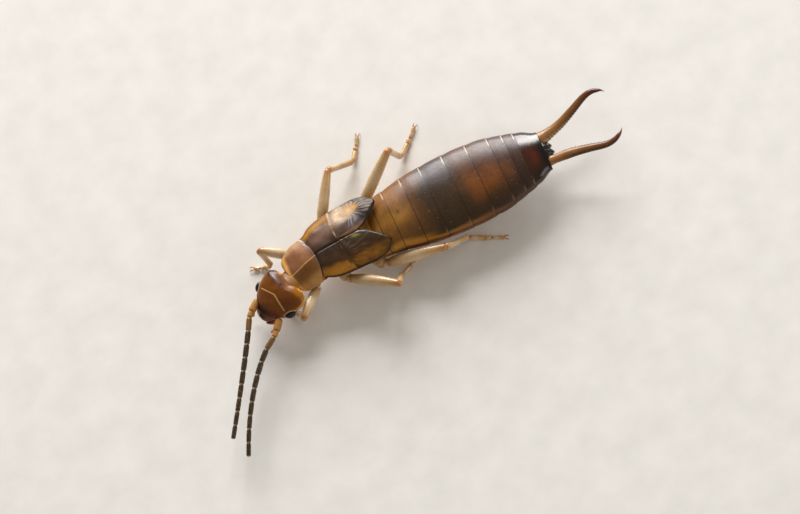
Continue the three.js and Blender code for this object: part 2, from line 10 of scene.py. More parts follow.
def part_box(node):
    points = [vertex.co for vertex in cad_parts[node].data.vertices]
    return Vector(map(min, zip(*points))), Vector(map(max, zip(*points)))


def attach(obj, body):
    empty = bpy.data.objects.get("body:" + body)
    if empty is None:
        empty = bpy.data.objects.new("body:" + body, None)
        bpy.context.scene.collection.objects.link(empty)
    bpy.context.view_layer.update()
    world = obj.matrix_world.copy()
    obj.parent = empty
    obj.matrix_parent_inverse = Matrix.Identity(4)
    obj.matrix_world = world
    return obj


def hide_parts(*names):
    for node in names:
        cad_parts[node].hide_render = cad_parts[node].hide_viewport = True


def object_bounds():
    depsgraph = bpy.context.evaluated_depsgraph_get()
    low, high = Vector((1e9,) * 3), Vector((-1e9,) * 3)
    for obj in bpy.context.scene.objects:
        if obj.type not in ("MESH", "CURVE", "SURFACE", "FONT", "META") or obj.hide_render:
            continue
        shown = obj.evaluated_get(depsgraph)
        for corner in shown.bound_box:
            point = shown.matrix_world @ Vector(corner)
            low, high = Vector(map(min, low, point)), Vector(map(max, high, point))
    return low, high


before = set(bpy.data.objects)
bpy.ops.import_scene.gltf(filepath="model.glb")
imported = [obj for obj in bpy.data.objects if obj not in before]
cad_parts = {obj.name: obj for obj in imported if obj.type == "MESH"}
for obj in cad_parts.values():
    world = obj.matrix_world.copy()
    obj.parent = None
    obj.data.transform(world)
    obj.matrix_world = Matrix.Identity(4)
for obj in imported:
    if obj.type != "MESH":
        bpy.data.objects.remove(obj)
cad_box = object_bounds()

bl_info = {
    "name": "Earwig Nymph",
    "version": (1, 0, 0),
    "blender": (4, 5, 0),
    "location": "View3D > Sidebar > Earwig",
    "description": "Builds the shell, skin, limbs and bristles of a life-size earwig nymph",
    "category": "Add Mesh",
}

MM = 0.001
BODY = "root"
UP = np.array([0.0, 0.0, 1.0])
SIDES = {"left": -1, "right": 1}

# The trunk, in millimetres along its axis from the root of the abdomen; the tail lies towards +X.
RING_GAP = 0.1
ABDOMEN_LENGTH = 7.1
THORAX_LENGTH = 3.2
AXIS_HEIGHT = 1.06
THORAX_YAW = math.radians(10.8)
DROOP_START = 1.9
DROOP = math.radians(11)
FLATNESS = 0.88
RING_ENDS = np.array([0.07, 0.148, 0.262, 0.378, 0.508, 0.64, 0.757, 0.832, 0.888, 1]) * ABDOMEN_LENGTH
PROTHORAX_REAR = 2.05
MESOTHORAX_REAR = 1.0

# The head's own frame: x runs backwards from the line between the eyes.
HEAD_PLACE = np.array([-4.08, -0.88, 1.05])
HEAD_TURN = Euler((math.radians(4), math.radians(-15), math.radians(22)), "XYZ").to_matrix()
HEAD_REAR = 0.93
HEAD_TIP = -0.8
EYE_PLACE = np.array([-0.02, 0.81, 0.02])
EYE_RADII = np.array([0.2, 0.125, 0.17])
EYE_TURN = math.radians(25)
SOCKET = np.array([-0.39, 0.55, -0.03])
FORK = (0.184, 0.03)
FORK_ENDS = ((0.04, 0.61), (-0.04, -0.6))
PIT = (0.6, 0.09)

# The stage, in the same millimetres.
FLOOR_HALF = 400
FLOOR_DEPTH = 4
LIGHT_TARGET = (1.0, -0.4, 0.9)
LIGHT_SIZE = 150
KEY_PLACE = (50, 200, 100)
FILL_PLACE = (190, -120, 40)
CAMERA_TARGET = (0.70, -1.39, 1.0)
SENSOR_WIDTH = 36

# Finishes: `shine` is (roughness, its spread, coat, coat roughness), `grain` is (relief's grain in
# millimetres, its height in micrometres, mottling, speckle), `deep` is (weight, reach in millimetres)
# of light under the surface, and `level` is the strength of its reflections.
FINISHES = {
    "abdomen": {
        "shine": (0.33, 0.06, 0.08, 0.25),
        "grain": (0.022, 1.6, 0.45, 0.45),
        "deep": (0.0, 0.1),
        "level": 0.35,
    },
    "skin": {
        "shine": (0.45, 0.08, 0.05, 0.4),
        "grain": (0.03, 2.5, 0.4, 0.2),
        "deep": (0.15, 0.15),
        "level": 0.3,
    },
    "shield": {
        "shine": (0.36, 0.07, 0.05, 0.3),
        "grain": (0.03, 1.2, 0.45, 0.35),
        "deep": (0.05, 0.12),
        "level": 0.3,
    },
    "fore_pad": {
        "shine": (0.36, 0.07, 0.04, 0.3),
        "grain": (0.035, 1.4, 0.5, 0.4),
        "deep": (0.04, 0.1),
        "level": 0.24,
    },
    "hind_pad": {
        "shine": (0.36, 0.08, 0.06, 0.28),
        "grain": (0.03, 1.4, 0.5, 0.4),
        "deep": (0.04, 0.1),
        "level": 0.24,
    },
    "head": {
        "shine": (0.3, 0.06, 0.2, 0.14),
        "grain": (0.03, 1.0, 0.35, 0.2),
        "deep": (0.0, 0.1),
        "level": 0.22,
    },
    "mouth": {
        "shine": (0.28, 0.05, 0.4, 0.15),
        "grain": (0.03, 1.0, 0.3, 0.1),
        "deep": (0.25, 0.15),
        "level": 0.5,
    },
    "antenna": {
        "shine": (0.36, 0.06, 0.1, 0.3),
        "grain": (0.02, 1.2, 0.35, 0.3),
        "deep": (0.05, 0.08),
        "level": 0.3,
    },
    "leg": {
        "shine": (0.3, 0.06, 0.4, 0.15),
        "grain": (0.03, 1.0, 0.3, 0.12),
        "deep": (0.4, 0.2),
        "level": 0.5,
    },
    "forceps": {
        "shine": (0.3, 0.06, 0.2, 0.15),
        "grain": (0.03, 1.0, 0.4, 0.25),
        "deep": (0.05, 0.1),
        "level": 0.35,
    },
    "bristle": {
        "shine": (0.3, 0.05, 0.2, 0.2),
        "grain": (0.03, 0.3, 0.2, 0.1),
        "deep": (0.2, 0.05),
        "level": 0.5,
    },
}


def body_origin():
    """Where the root of the abdomen lies in the frame, in millimetres."""
    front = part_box("abdomen_01")[0].x / MM - RING_GAP / 2
    low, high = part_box("abdomen_05")
    return np.array([front, (low.y + high.y) / 2 / MM, 0.0])


ORIGIN = body_origin()


def srgb(red, green, blue):
    """A colour as seen on a screen, as the light that it stands for."""
    seen = np.array([red, green, blue]) / 255
    return tuple(np.where(seen <= 0.04045, seen / 12.92, ((seen + 0.055) / 1.055) ** 2.4).tolist())


def profile(*pairs):
    """A smooth curve through (place, value) pairs, level beyond both ends."""
    places, values = np.array(pairs, float).T
    span = np.diff(places)
    steps = np.diff(values) / span
    slopes = np.zeros(len(places))
    product = steps[:-1] * steps[1:]
    slopes[1:-1] = np.where(product > 0, 2 * product / np.where(product > 0, steps[:-1] + steps[1:], 1), 0)

    def value(place):
        place = np.clip(place, places[0], places[-1])
        i = np.clip(np.searchsorted(places, place) - 1, 0, len(span) - 1)
        t = (place - places[i]) / span[i]
        rise = (3 - 2 * t) * t * t
        bow = span[i] * t * (1 - t) * (slopes[i] * (1 - t) - slopes[i + 1] * t)
        return values[i] * (1 - rise) + values[i + 1] * rise + bow

    return value


def smooth(value, low, high):
    """0 below `low`, 1 above `high`, and an even rise between them."""
    t = np.clip((value - low) / (high - low), 0, 1)
    return (3 - 2 * t) * t * t


def bell(value, centre, width):
    """A hump of height 1 round a centre."""
    return np.exp(-(((value - centre) / width) ** 2))


def spot(across, along, place, size):
    """A soft patch round a place on a two-way grid; `place` and `size` are (across, along)."""
    return bell(across, place[0], size[0]) * bell(along, place[1], size[1])


def stroke(points, start, end):
    """How far points of a plane lie from the straight line between two places."""
    start, way = np.asarray(start), np.subtract(end, start)
    share = np.clip((points - start) @ way / (way @ way), 0, 1)
    return np.linalg.norm(points - start - share[..., None] * way, axis=-1)


def unit(vectors):
    """The vectors, each with a length of 1."""
    return vectors / np.linalg.norm(vectors, axis=-1, keepdims=True)


def waves(points, seed, size, count=9):
    """A soft, seeded pattern from about -1 to 1, with patches of the given size in millimetres."""
    draw = np.random.default_rng(seed)
    total = np.zeros(points.shape[:-1])
    for _ in range(count):
        way = unit(draw.normal(size=3)) * draw.uniform(0.5, 1.5) * math.pi / size
        total += np.sin(points @ way + draw.uniform(0, 2 * math.pi))
    return total / math.sqrt(count)


TRUNK_WIDTH = profile(
    (-3.2, 0.72), (-2.6, 0.84), (-2.05, 0.93), (-1.4, 1.16), (-0.9, 1.21), (0, 1.14), (1, 1.24),
    (2.1, 1.46), (3.7, 1.56), (4.9, 1.5), (5.9, 1.27), (6.6, 1.05), (7.1, 0.8),
)
TRUNK_TOP = profile((-3.2, 0.44), (-2.6, 0.55), (-1.8, 0.6), (-0.9, 0.62), (0.7, 0.64))
ABDOMEN_TOP = profile(
    (0, 0.1), (0.35, 0.26), (0.7, 0.4), (1.1, 0.54), (2.4, 0.62), (4.6, 0.62), (6.2, 0.52), (7.1, 0.38),
)
TRUNK_BELLY = profile((-3.2, 0.3), (-2, 0.5), (0, 0.56), (3, 0.62), (5.5, 0.56), (7.1, 0.34))
CORE_WIDTH = profile((-3.3, 0.5), (-2.4, 0.76), (-1.4, 0.95), (0, 1.04))
PAD_WIDTH = profile((-2.2, 0.95), (-1.8, 1.14), (-1.35, 1.25), (-0.6, 1.3), (0.1, 1.33), (0.7, 1.22))
PRONOTUM_WIDTH = profile((0, 0.8), (0.15, 0.88), (0.6, 0.96), (0.88, 0.96), (1, 0.84))
HIND_PAD_REAR = profile(
    (0, -0.24), (0.09, 0), (0.23, 0.24), (0.48, 0.56), (0.7, 0.73), (0.83, 0.62), (0.93, 0.44), (1, -0.08),
)
HEAD_WIDTH = profile(
    (-0.8, 0.1), (-0.72, 0.22), (-0.56, 0.4), (-0.37, 0.58), (-0.15, 0.76), (0, 0.84), (0.25, 0.9),
    (0.5, 0.935), (0.68, 0.9), (0.8, 0.79), (0.88, 0.62), (0.93, 0.42),
)
HEAD_TOP = profile((-0.8, 0.02), (-0.56, 0.16), (-0.15, 0.33), (0.3, 0.42), (0.6, 0.39), (0.93, 0.18))
HEAD_BOTTOM = profile((-0.8, 0.1), (-0.56, 0.22), (-0.15, 0.34), (0.3, 0.4), (0.6, 0.36), (0.93, 0.18))


def bend(x, y, z):
    """Bends the front of the straight trunk: first down, then towards the animal's left."""
    x, y, z = np.broadcast_arrays(np.asarray(x, float), np.asarray(y, float), np.asarray(z, float))
    dip = DROOP / (THORAX_LENGTH - DROOP_START)
    turn = dip * np.maximum(-DROOP_START - x, 0)
    lift = z - AXIS_HEIGHT
    along = np.maximum(x, -DROOP_START) - np.sin(turn) / dip + lift * np.sin(turn)
    height = AXIS_HEIGHT - (1 - np.cos(turn)) / dip + lift * np.cos(turn)
    curve = THORAX_YAW / THORAX_LENGTH
    yaw = np.maximum(-along, 0) * curve
    across = -(1 - np.cos(yaw)) / curve + y * np.cos(yaw)
    return np.stack([np.maximum(along, 0) - np.sin(yaw) / curve - y * np.sin(yaw), across, height], axis=-1)


def squarer(value, power):
    """Rounded-box power of a sine or cosine: 1 keeps the circle, less makes it squarer."""
    return np.sign(value) * np.abs(value) ** power


def section(x, angle, width, top, belly):
    """Points of a cross-section of the trunk, by the angle from the middle of the back."""
    up = squarer(np.cos(angle), FLATNESS)
    side = squarer(np.sin(angle), FLATNESS) * width
    return bend(x, side, AXIS_HEIGHT + up * np.where(up > 0, top, belly))


def in_head(points):
    """Points of the head's own frame, brought into the body's."""
    return np.asarray(points, float) @ np.array(HEAD_TURN).T + HEAD_PLACE


def smooth_line(stops, count):
    """Evenly spaced points on a smooth curve through the stops."""
    stops = np.asarray(stops, float)
    padded = np.vstack([2 * stops[0] - stops[1], stops, 2 * stops[-1] - stops[-2]])
    t = np.linspace(0, 1, 24, endpoint=False)[:, None]
    parts = [
        b + (c - a) * t / 2 + (2 * a - 5 * b + 4 * c - d) * t**2 / 2 + (3 * b - a - 3 * c + d) * t**3 / 2
        for a, b, c, d in zip(padded, padded[1:], padded[2:], padded[3:])
    ]
    line = np.vstack([*parts, stops[-1:]])
    gone = np.concatenate([[0], np.cumsum(np.linalg.norm(np.diff(line, axis=0), axis=1))])
    even = np.linspace(0, gone[-1], count)
    return np.stack([np.interp(even, gone, line[:, k]) for k in range(3)], axis=1)


def rings_along(line, across, upright, sides):
    """Rings of points round a line and square to it, from its half widths across and upright."""
    ahead = unit(np.gradient(line, axis=0))
    side = unit(np.cross(ahead, UP))
    up = np.cross(side, ahead)
    turn = np.linspace(0, 2 * math.pi, sides, endpoint=False)
    out = (across[:, None] * np.sin(turn))[..., None] * side[:, None]
    return line[:, None] + out + (upright[:, None] * np.cos(turn))[..., None] * up[:, None]


def end_heavy(count):
    """Shares from 0 to 1 that lie closer together towards both ends."""
    return (1 - np.cos(np.linspace(0, math.pi, count))) / 2


def capped(share, length, radius, blunt=1.0):
    """Rounds a radius off to nothing at both ends of a limb, over its own length or a share of it."""
    near = np.minimum(share, 1 - share) * length / np.maximum(radius * blunt, 0.001)
    return radius * np.sqrt(1 - (1 - np.clip(near, 0, 1)) ** 2)


def coats(shape, base, *layers):
    """Colours for a grid of points: a base, then (colour, cover) layers laid over it."""
    colour = np.broadcast_to(np.asarray(base, float), (*shape, 3)).copy()
    for tint, cover in layers:
        share = np.clip(np.broadcast_to(cover, shape), 0, 1)[..., None]
        colour = colour * (1 - share) + np.asarray(tint) * share
    return colour


def colour_along(x, *stops):
    """A colour that changes along the body through (place, colour) stops."""
    places = [place for place, _ in stops]
    shades = np.array([shade for _, shade in stops])
    return np.stack([np.interp(x, places, shades[:, k]) for k in range(3)], axis=-1)


def volume(points, triangles):
    """The volume inside a closed surface, below 0 where its faces point inwards."""
    a, b, c = (points[triangles[:, k]] for k in range(3))
    return np.einsum("ij,ij->i", a, np.cross(b, c)).sum() / 6


class Piece:
    """Points, faces and colours of one piece, gathered shape by shape in body millimetres."""

    def __init__(self):
        self.points = []
        self.colours = []
        self.faces = []
        self.count = 0

    def add(self, points, colours, quads, triangles):
        """Adds a closed shape, turned so that its faces point outwards."""
        halves = np.vstack([quads[:, [0, 1, 2]], quads[:, [0, 2, 3]], triangles])
        step = 1 if volume(points, halves) > 0 else -1
        self.points.append(points)
        self.colours.append(colours)
        self.faces += (quads[:, ::step] + self.count).tolist()
        self.faces += (triangles[:, ::step] + self.count).tolist()
        self.count += len(points)

    def tube(self, rings, colours):
        """A closed tube through rings of points, with a pole at each end."""
        rows, sides = rings.shape[:2]
        index = np.arange(rows * sides).reshape(rows, sides)
        beside = np.roll(index, -1, axis=1)
        quads = np.stack([index[:-1], beside[:-1], beside[1:], index[1:]], axis=-1).reshape(-1, 4)
        pole = np.full(sides, rows * sides)
        start = np.stack([beside[0], index[0], pole], axis=1)
        end = np.stack([index[-1], beside[-1], pole + 1], axis=1)
        colours = np.broadcast_to(colours, rings.shape)
        points = np.vstack([rings.reshape(-1, 3), rings[0].mean(0), rings[-1].mean(0)])
        shades = np.vstack([colours.reshape(-1, 3), colours[0].mean(0), colours[-1].mean(0)])
        self.add(points, shades, quads, np.vstack([start, end]))

    def slab(self, top, bottom, top_colours, bottom_colours):
        """A closed plate between two grids of points."""
        rows, columns = top.shape[:2]
        index = np.arange(rows * columns).reshape(rows, columns)
        below = rows * columns
        corners = [index[:-1, :-1], index[1:, :-1], index[1:, 1:], index[:-1, 1:]]
        face = np.stack(corners, axis=-1).reshape(-1, 4)
        rim = np.concatenate([index[:-1, 0], index[-1, :-1], index[:0:-1, -1], index[0, :0:-1]])
        after = np.roll(rim, -1)
        wall = np.stack([after, rim, rim + below, after + below], axis=1)
        points = np.vstack([top.reshape(-1, 3), bottom.reshape(-1, 3)])
        shades = np.vstack([top_colours.reshape(-1, 3), bottom_colours.reshape(-1, 3)])
        quads = np.vstack([face, face[:, ::-1] + below, wall])
        self.add(points, shades, quads, np.zeros((0, 3), int))

    def limb(self, start, end, radius, colour, sides, rows, flat=1.0, arch=0.0, floor=None, blunt=1.0):
        """A rounded joint of a limb; `radius` and `colour` are functions of the share of the way.

        `flat` narrows it, `arch` lifts its middle, `floor` keeps it above a height, and `blunt` shortens
        its round ends.
        """
        start, end = np.asarray(start, float), np.asarray(end, float)
        share = end_heavy(rows)
        length = np.linalg.norm(end - start)
        line = start + (end - start) * share[:, None] + UP * (arch * np.sin(math.pi * share))[:, None]
        size = capped(share, length, np.broadcast_to(radius(share), share.shape), blunt)
        rings = rings_along(line, size * flat, size, sides)
        if floor is not None:
            rings[..., 2] = np.maximum(rings[..., 2], floor)
        self.tube(rings[1:-1], colour(share)[1:-1, None] * np.ones((1, sides, 1)))

    def ball(self, centre, radii, colour, turn, rows=24, sides=32):
        """A rounded lump with its poles on the x axis of the frame that `turn` brings it from."""
        share = np.linspace(0, math.pi, rows + 2)[1:-1, None]
        around = np.linspace(0, 2 * math.pi, sides, endpoint=False)
        level = np.cos(share) * np.ones(sides)
        local = np.stack([level, np.sin(share) * np.sin(around), np.sin(share) * np.cos(around)], axis=-1)
        self.tube(turn(np.asarray(centre) + local * np.asarray(radii)), np.asarray(colour))

    def finish(self, name, material, slot, nodes):
        """Makes the mesh in the frame's metres, hangs it on the body, and hides the solids that it stands
        for.
        """
        points = (np.vstack(self.points) + ORIGIN) * MM
        mesh = bpy.data.meshes.new(name)
        mesh.from_pydata(points.tolist(), [], self.faces)
        paint = mesh.attributes.new("paint", "FLOAT_COLOR", "POINT")
        shades = np.clip(np.vstack(self.colours), 0, 1)
        paint.data.foreach_set("color", np.hstack([shades, np.ones((len(shades), 1))]).ravel())
        mesh.shade_smooth()
        mesh.materials.append(material)
        made = bpy.data.objects.new(name, mesh)
        bpy.context.scene.collection.objects.link(made)
        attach(made, BODY)
        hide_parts(*nodes)
        return made


# Materials.


def node(tree, kind, inputs=(), **settings):
    """Adds a node, sets its settings, and sets or links its inputs, given as (name, value) pairs."""
    made = tree.nodes.new(kind)
    for key, value in settings.items():
        setattr(made, key, value)
    for key, value in inputs:
        if isinstance(value, bpy.types.NodeSocket):
            tree.links.new(value, made.inputs[key])
        else:
            made.inputs[key].default_value = value
    return made


def multiplied(tree, colour, shade, factor):
    """A colour with a grey pattern multiplied into it."""
    pairs = ((0, factor), (6, colour), (7, shade))
    return node(tree, "ShaderNodeMix", pairs, data_type="RGBA", blend_type="MULTIPLY").outputs[2]


def graded(tree, value, low, high, into_low, into_high):
    """Maps a value from one range into another."""
    pairs = (("Value", value), (1, low), (2, high), (3, into_low), (4, into_high))
    return node(tree, "ShaderNodeMapRange", pairs).outputs[0]


def shell_material(name, finish, colour=None, dulled=False):
    """A shell or skin: painted colour with mottling and speckle, uneven gloss, fine relief and depth.

    A dulled shell multiplies its roughness by the mesh's own `dull` values and takes its coat from its
    `varnish` values.
    """
    material = bpy.data.materials.new(name)
    material.use_nodes = True
    tree = material.node_tree
    shader = tree.nodes["Principled BSDF"]
    place = node(tree, "ShaderNodeTexCoord").outputs["Object"]

    def noise(size, detail=3.0):
        pairs = (("Vector", place), ("Scale", 1 / (size * MM)), ("Detail", detail), ("Roughness", 0.55))
        return node(tree, "ShaderNodeTexNoise", pairs).outputs["Fac"]

    roughness, spread, coat, coat_roughness = FINISHES[finish]["shine"]
    size, height, mottling, speckle = FINISHES[finish]["grain"]
    weight, reach = FINISHES[finish]["deep"]
    if colour is None:
        paint = node(tree, "ShaderNodeAttribute", attribute_name="paint").outputs["Color"]
    else:
        paint = node(tree, "ShaderNodeRGB").outputs[0]
        paint.default_value = (*colour, 1)
    patches = graded(tree, noise(0.35), 0.3, 0.7, 0.62, 1.3)
    paint = multiplied(tree, paint, patches, mottling)
    dots = graded(tree, noise(0.03, 2.0), 0.32, 0.68, 0.4, 1.5)
    paint = multiplied(tree, paint, dots, speckle)
    tree.links.new(paint, shader.inputs["Base Color"])
    gloss = graded(tree, noise(0.12), 0.3, 0.7, roughness - spread, roughness + spread)
    if dulled:
        dull = node(tree, "ShaderNodeAttribute", attribute_name="dull").outputs["Fac"]
        gloss = node(tree, "ShaderNodeMath", ((0, gloss), (1, dull)), operation="MULTIPLY").outputs[0]
        varnish = node(tree, "ShaderNodeAttribute", attribute_name="varnish").outputs["Fac"]
        tree.links.new(varnish, shader.inputs["Coat Weight"])
    tree.links.new(gloss, shader.inputs["Roughness"])
    cells = node(
        tree,
        "ShaderNodeTexVoronoi",
        (("Vector", place), ("Scale", 1 / (size * MM)), ("Randomness", 0.9)),
        feature="SMOOTH_F1",
    ).outputs["Distance"]
    ripple = noise(size * 4, 4.0)
    relief = node(tree, "ShaderNodeMath", ((0, cells), (1, ripple)), operation="ADD").outputs[0]
    pairs = (("Strength", 1.0), ("Distance", height * 1e-6), ("Height", relief))
    bumps = node(tree, "ShaderNodeBump", pairs)
    tree.links.new(bumps.outputs[0], shader.inputs["Normal"])
    shader.inputs["IOR"].default_value = 1.55
    shader.inputs["Specular IOR Level"].default_value = FINISHES[finish]["level"]
    shader.inputs["Coat Weight"].default_value = coat
    shader.inputs["Coat Roughness"].default_value = coat_roughness
    shader.inputs["Subsurface Weight"].default_value = weight
    shader.inputs["Subsurface Radius"].default_value = (1.0, 0.5, 0.22)
    shader.inputs["Subsurface Scale"].default_value = reach * MM
    return material


def eye_material(name, colour):
    """A glossy compound eye: small six-sided facets with a blue-green sheen between them."""
    material = bpy.data.materials.new(name)
    material.use_nodes = True
    tree = material.node_tree
    shader = tree.nodes["Principled BSDF"]
    place = node(tree, "ShaderNodeTexCoord").outputs["Object"]
    facets = node(
        tree,
        "ShaderNodeTexVoronoi",
        (("Vector", place), ("Scale", 1 / (0.022 * MM)), ("Randomness", 0.25)),
        feature="F1",
    )
    rise = graded(tree, facets.outputs["Distance"], 0.0, 0.6, 1.0, 0.0)
    bumps = node(tree, "ShaderNodeBump", (("Strength", 1.0), ("Distance", 3e-6), ("Height", rise)))
    ramp = node(tree, "ShaderNodeValToRGB", (("Fac", rise),))
    ramp.color_ramp.elements[0].color = (0.003, 0.006, 0.006, 1)
    ramp.color_ramp.elements[1].color = (*colour, 1)
    tree.links.new(ramp.outputs[0], shader.inputs["Base Color"])
    tree.links.new(bumps.outputs[0], shader.inputs["Normal"])
    shader.inputs["Roughness"].default_value = 0.3
    shader.inputs["Specular IOR Level"].default_value = 0.3
    shader.inputs["Coat Weight"].default_value = 0.15
    shader.inputs["Coat Roughness"].default_value = 0.1
    return material


# Pieces.


def abdomen_colours(x, angle, points, paint):
    """Markings and right-side painted sheen of the abdomen, by place along it and angle from mid-back."""
    turn = np.degrees(angle)
    turn = np.where(turn > 180, turn - 360, turn)
    true_turn = turn
    turn = turn + 3 * waves(points, 11, 0.6)
    place = x + 0.07 * waves(points, 12, 0.5)
    amber, slate_sheen, glow = (np.array(shade[:]) for shade in (paint.amber, paint.slate_sheen, paint.glow))
    umber = np.array(srgb(52, 32, 10))
    middle = colour_along(
        place,
        (0.0, amber), (1.5, amber), (1.95, srgb(98, 60, 18)), (2.4, umber), (3.5, umber),
        (3.9, srgb(80, 44, 10)), (4.3, srgb(96, 50, 6)), (4.7, srgb(78, 40, 6)), (5.1, srgb(92, 46, 4)),
        (5.6, srgb(76, 36, 4)), (6.1, srgb(60, 26, 4)), (6.5, srgb(54, 20, 4)), (7.0, srgb(36, 14, 4)),
    )
    # The right side's mauve-grey and slate colours: partly the shell's own colour, partly painted sheen.
    right = colour_along(
        place,
        (0.0, amber), (1.1, srgb(156, 108, 64)), (1.9, srgb(134, 94, 66)), (2.6, slate_sheen), (3.6, slate_sheen),
        (4.0, srgb(98, 72, 62)), (5.2, srgb(92, 70, 66)), (6.2, srgb(78, 58, 62)), (7.05, srgb(52, 34, 32)),
    )
    left = colour_along(
        place,
        (0.0, amber), (1.1, srgb(120, 78, 22)), (1.9, srgb(92, 58, 16)), (2.6, srgb(56, 36, 10)),
        (4.8, srgb(58, 36, 12)), (5.8, srgb(58, 36, 20)), (6.6, srgb(44, 22, 8)), (7.05, srgb(34, 15, 6)),
    )
    flank = colour_along(
        place,
        (0.0, srgb(190, 132, 34)), (2.4, srgb(180, 120, 26)), (3.4, srgb(160, 104, 24)),
        (4.3, srgb(120, 76, 18)), (5.2, srgb(78, 48, 16)), (7.1, srgb(52, 30, 12)),
    )
    belly = colour_along(
        place,
        (0.0, srgb(176, 124, 52)), (5.5, srgb(140, 98, 48)), (7.1, srgb(80, 44, 26)),
    )
    patches = bell(place, 4.3, 0.42) + bell(place, 5.05, 0.42) + 0.4 * bell(place, 5.7, 0.15)
    glowing = bell(turn, -12, 20) * patches
    ember = bell(place, 6.6, 0.17) * bell(-turn, 14, 17)
    shade = coats(
        turn.shape,
        left,
        (right, smooth(turn, 0, 22)),
        (middle, 0.85 * bell(turn, -4, 14)),
        (glow, 0.8 * glowing),
        (srgb(86, 30, 6), 0.8 * ember),
        (flank, smooth(-turn, 48, 62) * smooth(-place, -2.6, -1.6) + smooth(-turn, 62, 74)),
        (srgb(110, 62, 10), 0.8 * smooth(-turn, 68, 80) * (1 - smooth(place, 4.0, 5.5))),
        (flank, smooth(turn, 66, 88)),
        (belly, smooth(np.abs(turn), 108, 122)),
    )
    dot = spot(x, true_turn, (1.33, 0), (0.045, 2.2))
    seam = np.zeros(x.shape)
    edge = np.zeros(x.shape)
    for end in RING_ENDS[:-1]:
        seam = np.maximum(seam, bell(x, end + 0.01, 0.016))
        edge = np.maximum(edge, bell(x, end - 0.03, 0.022))
    # A cream line at each ring's hind edge, on the right side only: painted highlight on the lit edges.
    pale = smooth(true_turn, 32, 40) * (1 - smooth(true_turn, 60, 68))
    corner = bell(true_turn, 66, 7) + bell(true_turn, -66, 8)
    ring_rim = bell(-true_turn, 84, 4) * (1 - smooth(x, 5.0, 5.6))
    tail = smooth(x, 6.86, 6.98)
    return coats(
        turn.shape,
        shade,
        (srgb(46, 22, 8), 0.85 * dot),
        (srgb(180, 112, 44), 0.6 * edge * corner),
        (srgb(226, 200, 168), 0.85 * edge * pale),
        (srgb(58, 18, 6), 0.8 * ring_rim),
        (srgb(24, 12, 4), 0.9 * seam),
        (srgb(16, 8, 6), 0.92 * tail),
    )


def build_abdomen(settings):
    """Ten rings, each tucked under the hind edge of the one ahead, in one closed shell."""
    lip = settings.lip / MM
    bulge = settings.bulge
    around = np.linspace(0, 2 * math.pi, 168, endpoint=False)
    turn = np.where(around > math.pi, 2 * math.pi - around, around)
    fold = smooth(np.degrees(turn), 112, 115)
    share = np.linspace(0, 1, 27)
    share = share - 0.6 * np.sin(2 * math.pi * share) / (2 * math.pi)
    hook = np.array([[0.01, 0.15], [0.016, 0.5], [0.014, 0.9], [0.002, 1.3]])
    rows = [(-0.25, 0.0, 0.55), (-0.12, 0.0, 0.85), (-0.04, 0.0, 0.97)]
    front = 0.0
    for index, rear in enumerate(RING_ENDS):
        swell = 1 + bulge * (np.sin(math.pi * share) + share)
        sink = lip * (1 - smooth(share, 0, 0.4)) * (index > 0)
        rows += list(zip(front + (rear - front) * share, sink, swell))
        if rear < RING_ENDS[-1]:
            rows += [(rear + ahead, lip * deep, swell[-1]) for ahead, deep in hook]
        front = rear
    for kept in (0.97, 0.92, 0.84, 0.7, 0.5, 0.25, 0.08):
        dome = 0.05 * math.sin(math.pi * (1 - kept) / 2) - 0.03 * (1 - kept)
        rows.append((front + dome, 0.0, (1 + bulge) * kept))
    x, sink, size = (np.array(column)[:, None] for column in zip(*rows))
    x_all = np.broadcast_to(x, (len(rows), len(around)))
    deep = sink + 0.03 * fold
    rings = section(
        x_all,
        around,
        np.maximum(TRUNK_WIDTH(x) * size - deep, 0.01),
        np.maximum(ABDOMEN_TOP(x) * size - deep, 0.01),
        np.maximum(TRUNK_BELLY(x) * size - deep, 0.01),
    )
    rings = rings + UP * (0.006 * waves(rings, 21, 0.8))[..., None]
    piece = Piece()
    piece.tube(rings, abdomen_colours(x_all, np.broadcast_to(around, x_all.shape), rings, settings))
    skin = shell_material("abdomen_shell", "abdomen", dulled=True)
    nodes = [f"abdomen_{number:02d}" for number in range(1, 11)]
    made = piece.finish("abdomen_shell", skin, "abdomen_middle", nodes)
    points = np.vstack(piece.points)
    on_last = smooth(points[:, 0], RING_ENDS[-2] - 0.05, RING_ENDS[-2] + 0.1)
    shoulder = smooth(points[:, 2], 0.9, 1.1) * bell(points[:, 1], 0.5, 0.24)
    dull = 1 - 0.55 * on_last
    varnish = 0.08 + 0.92 * on_last * shoulder
    made.data.attributes.new("dull", "FLOAT", "POINT").data.foreach_set("value", dull)
    made.data.attributes.new("varnish", "FLOAT", "POINT").data.foreach_set("value", varnish)
    return made


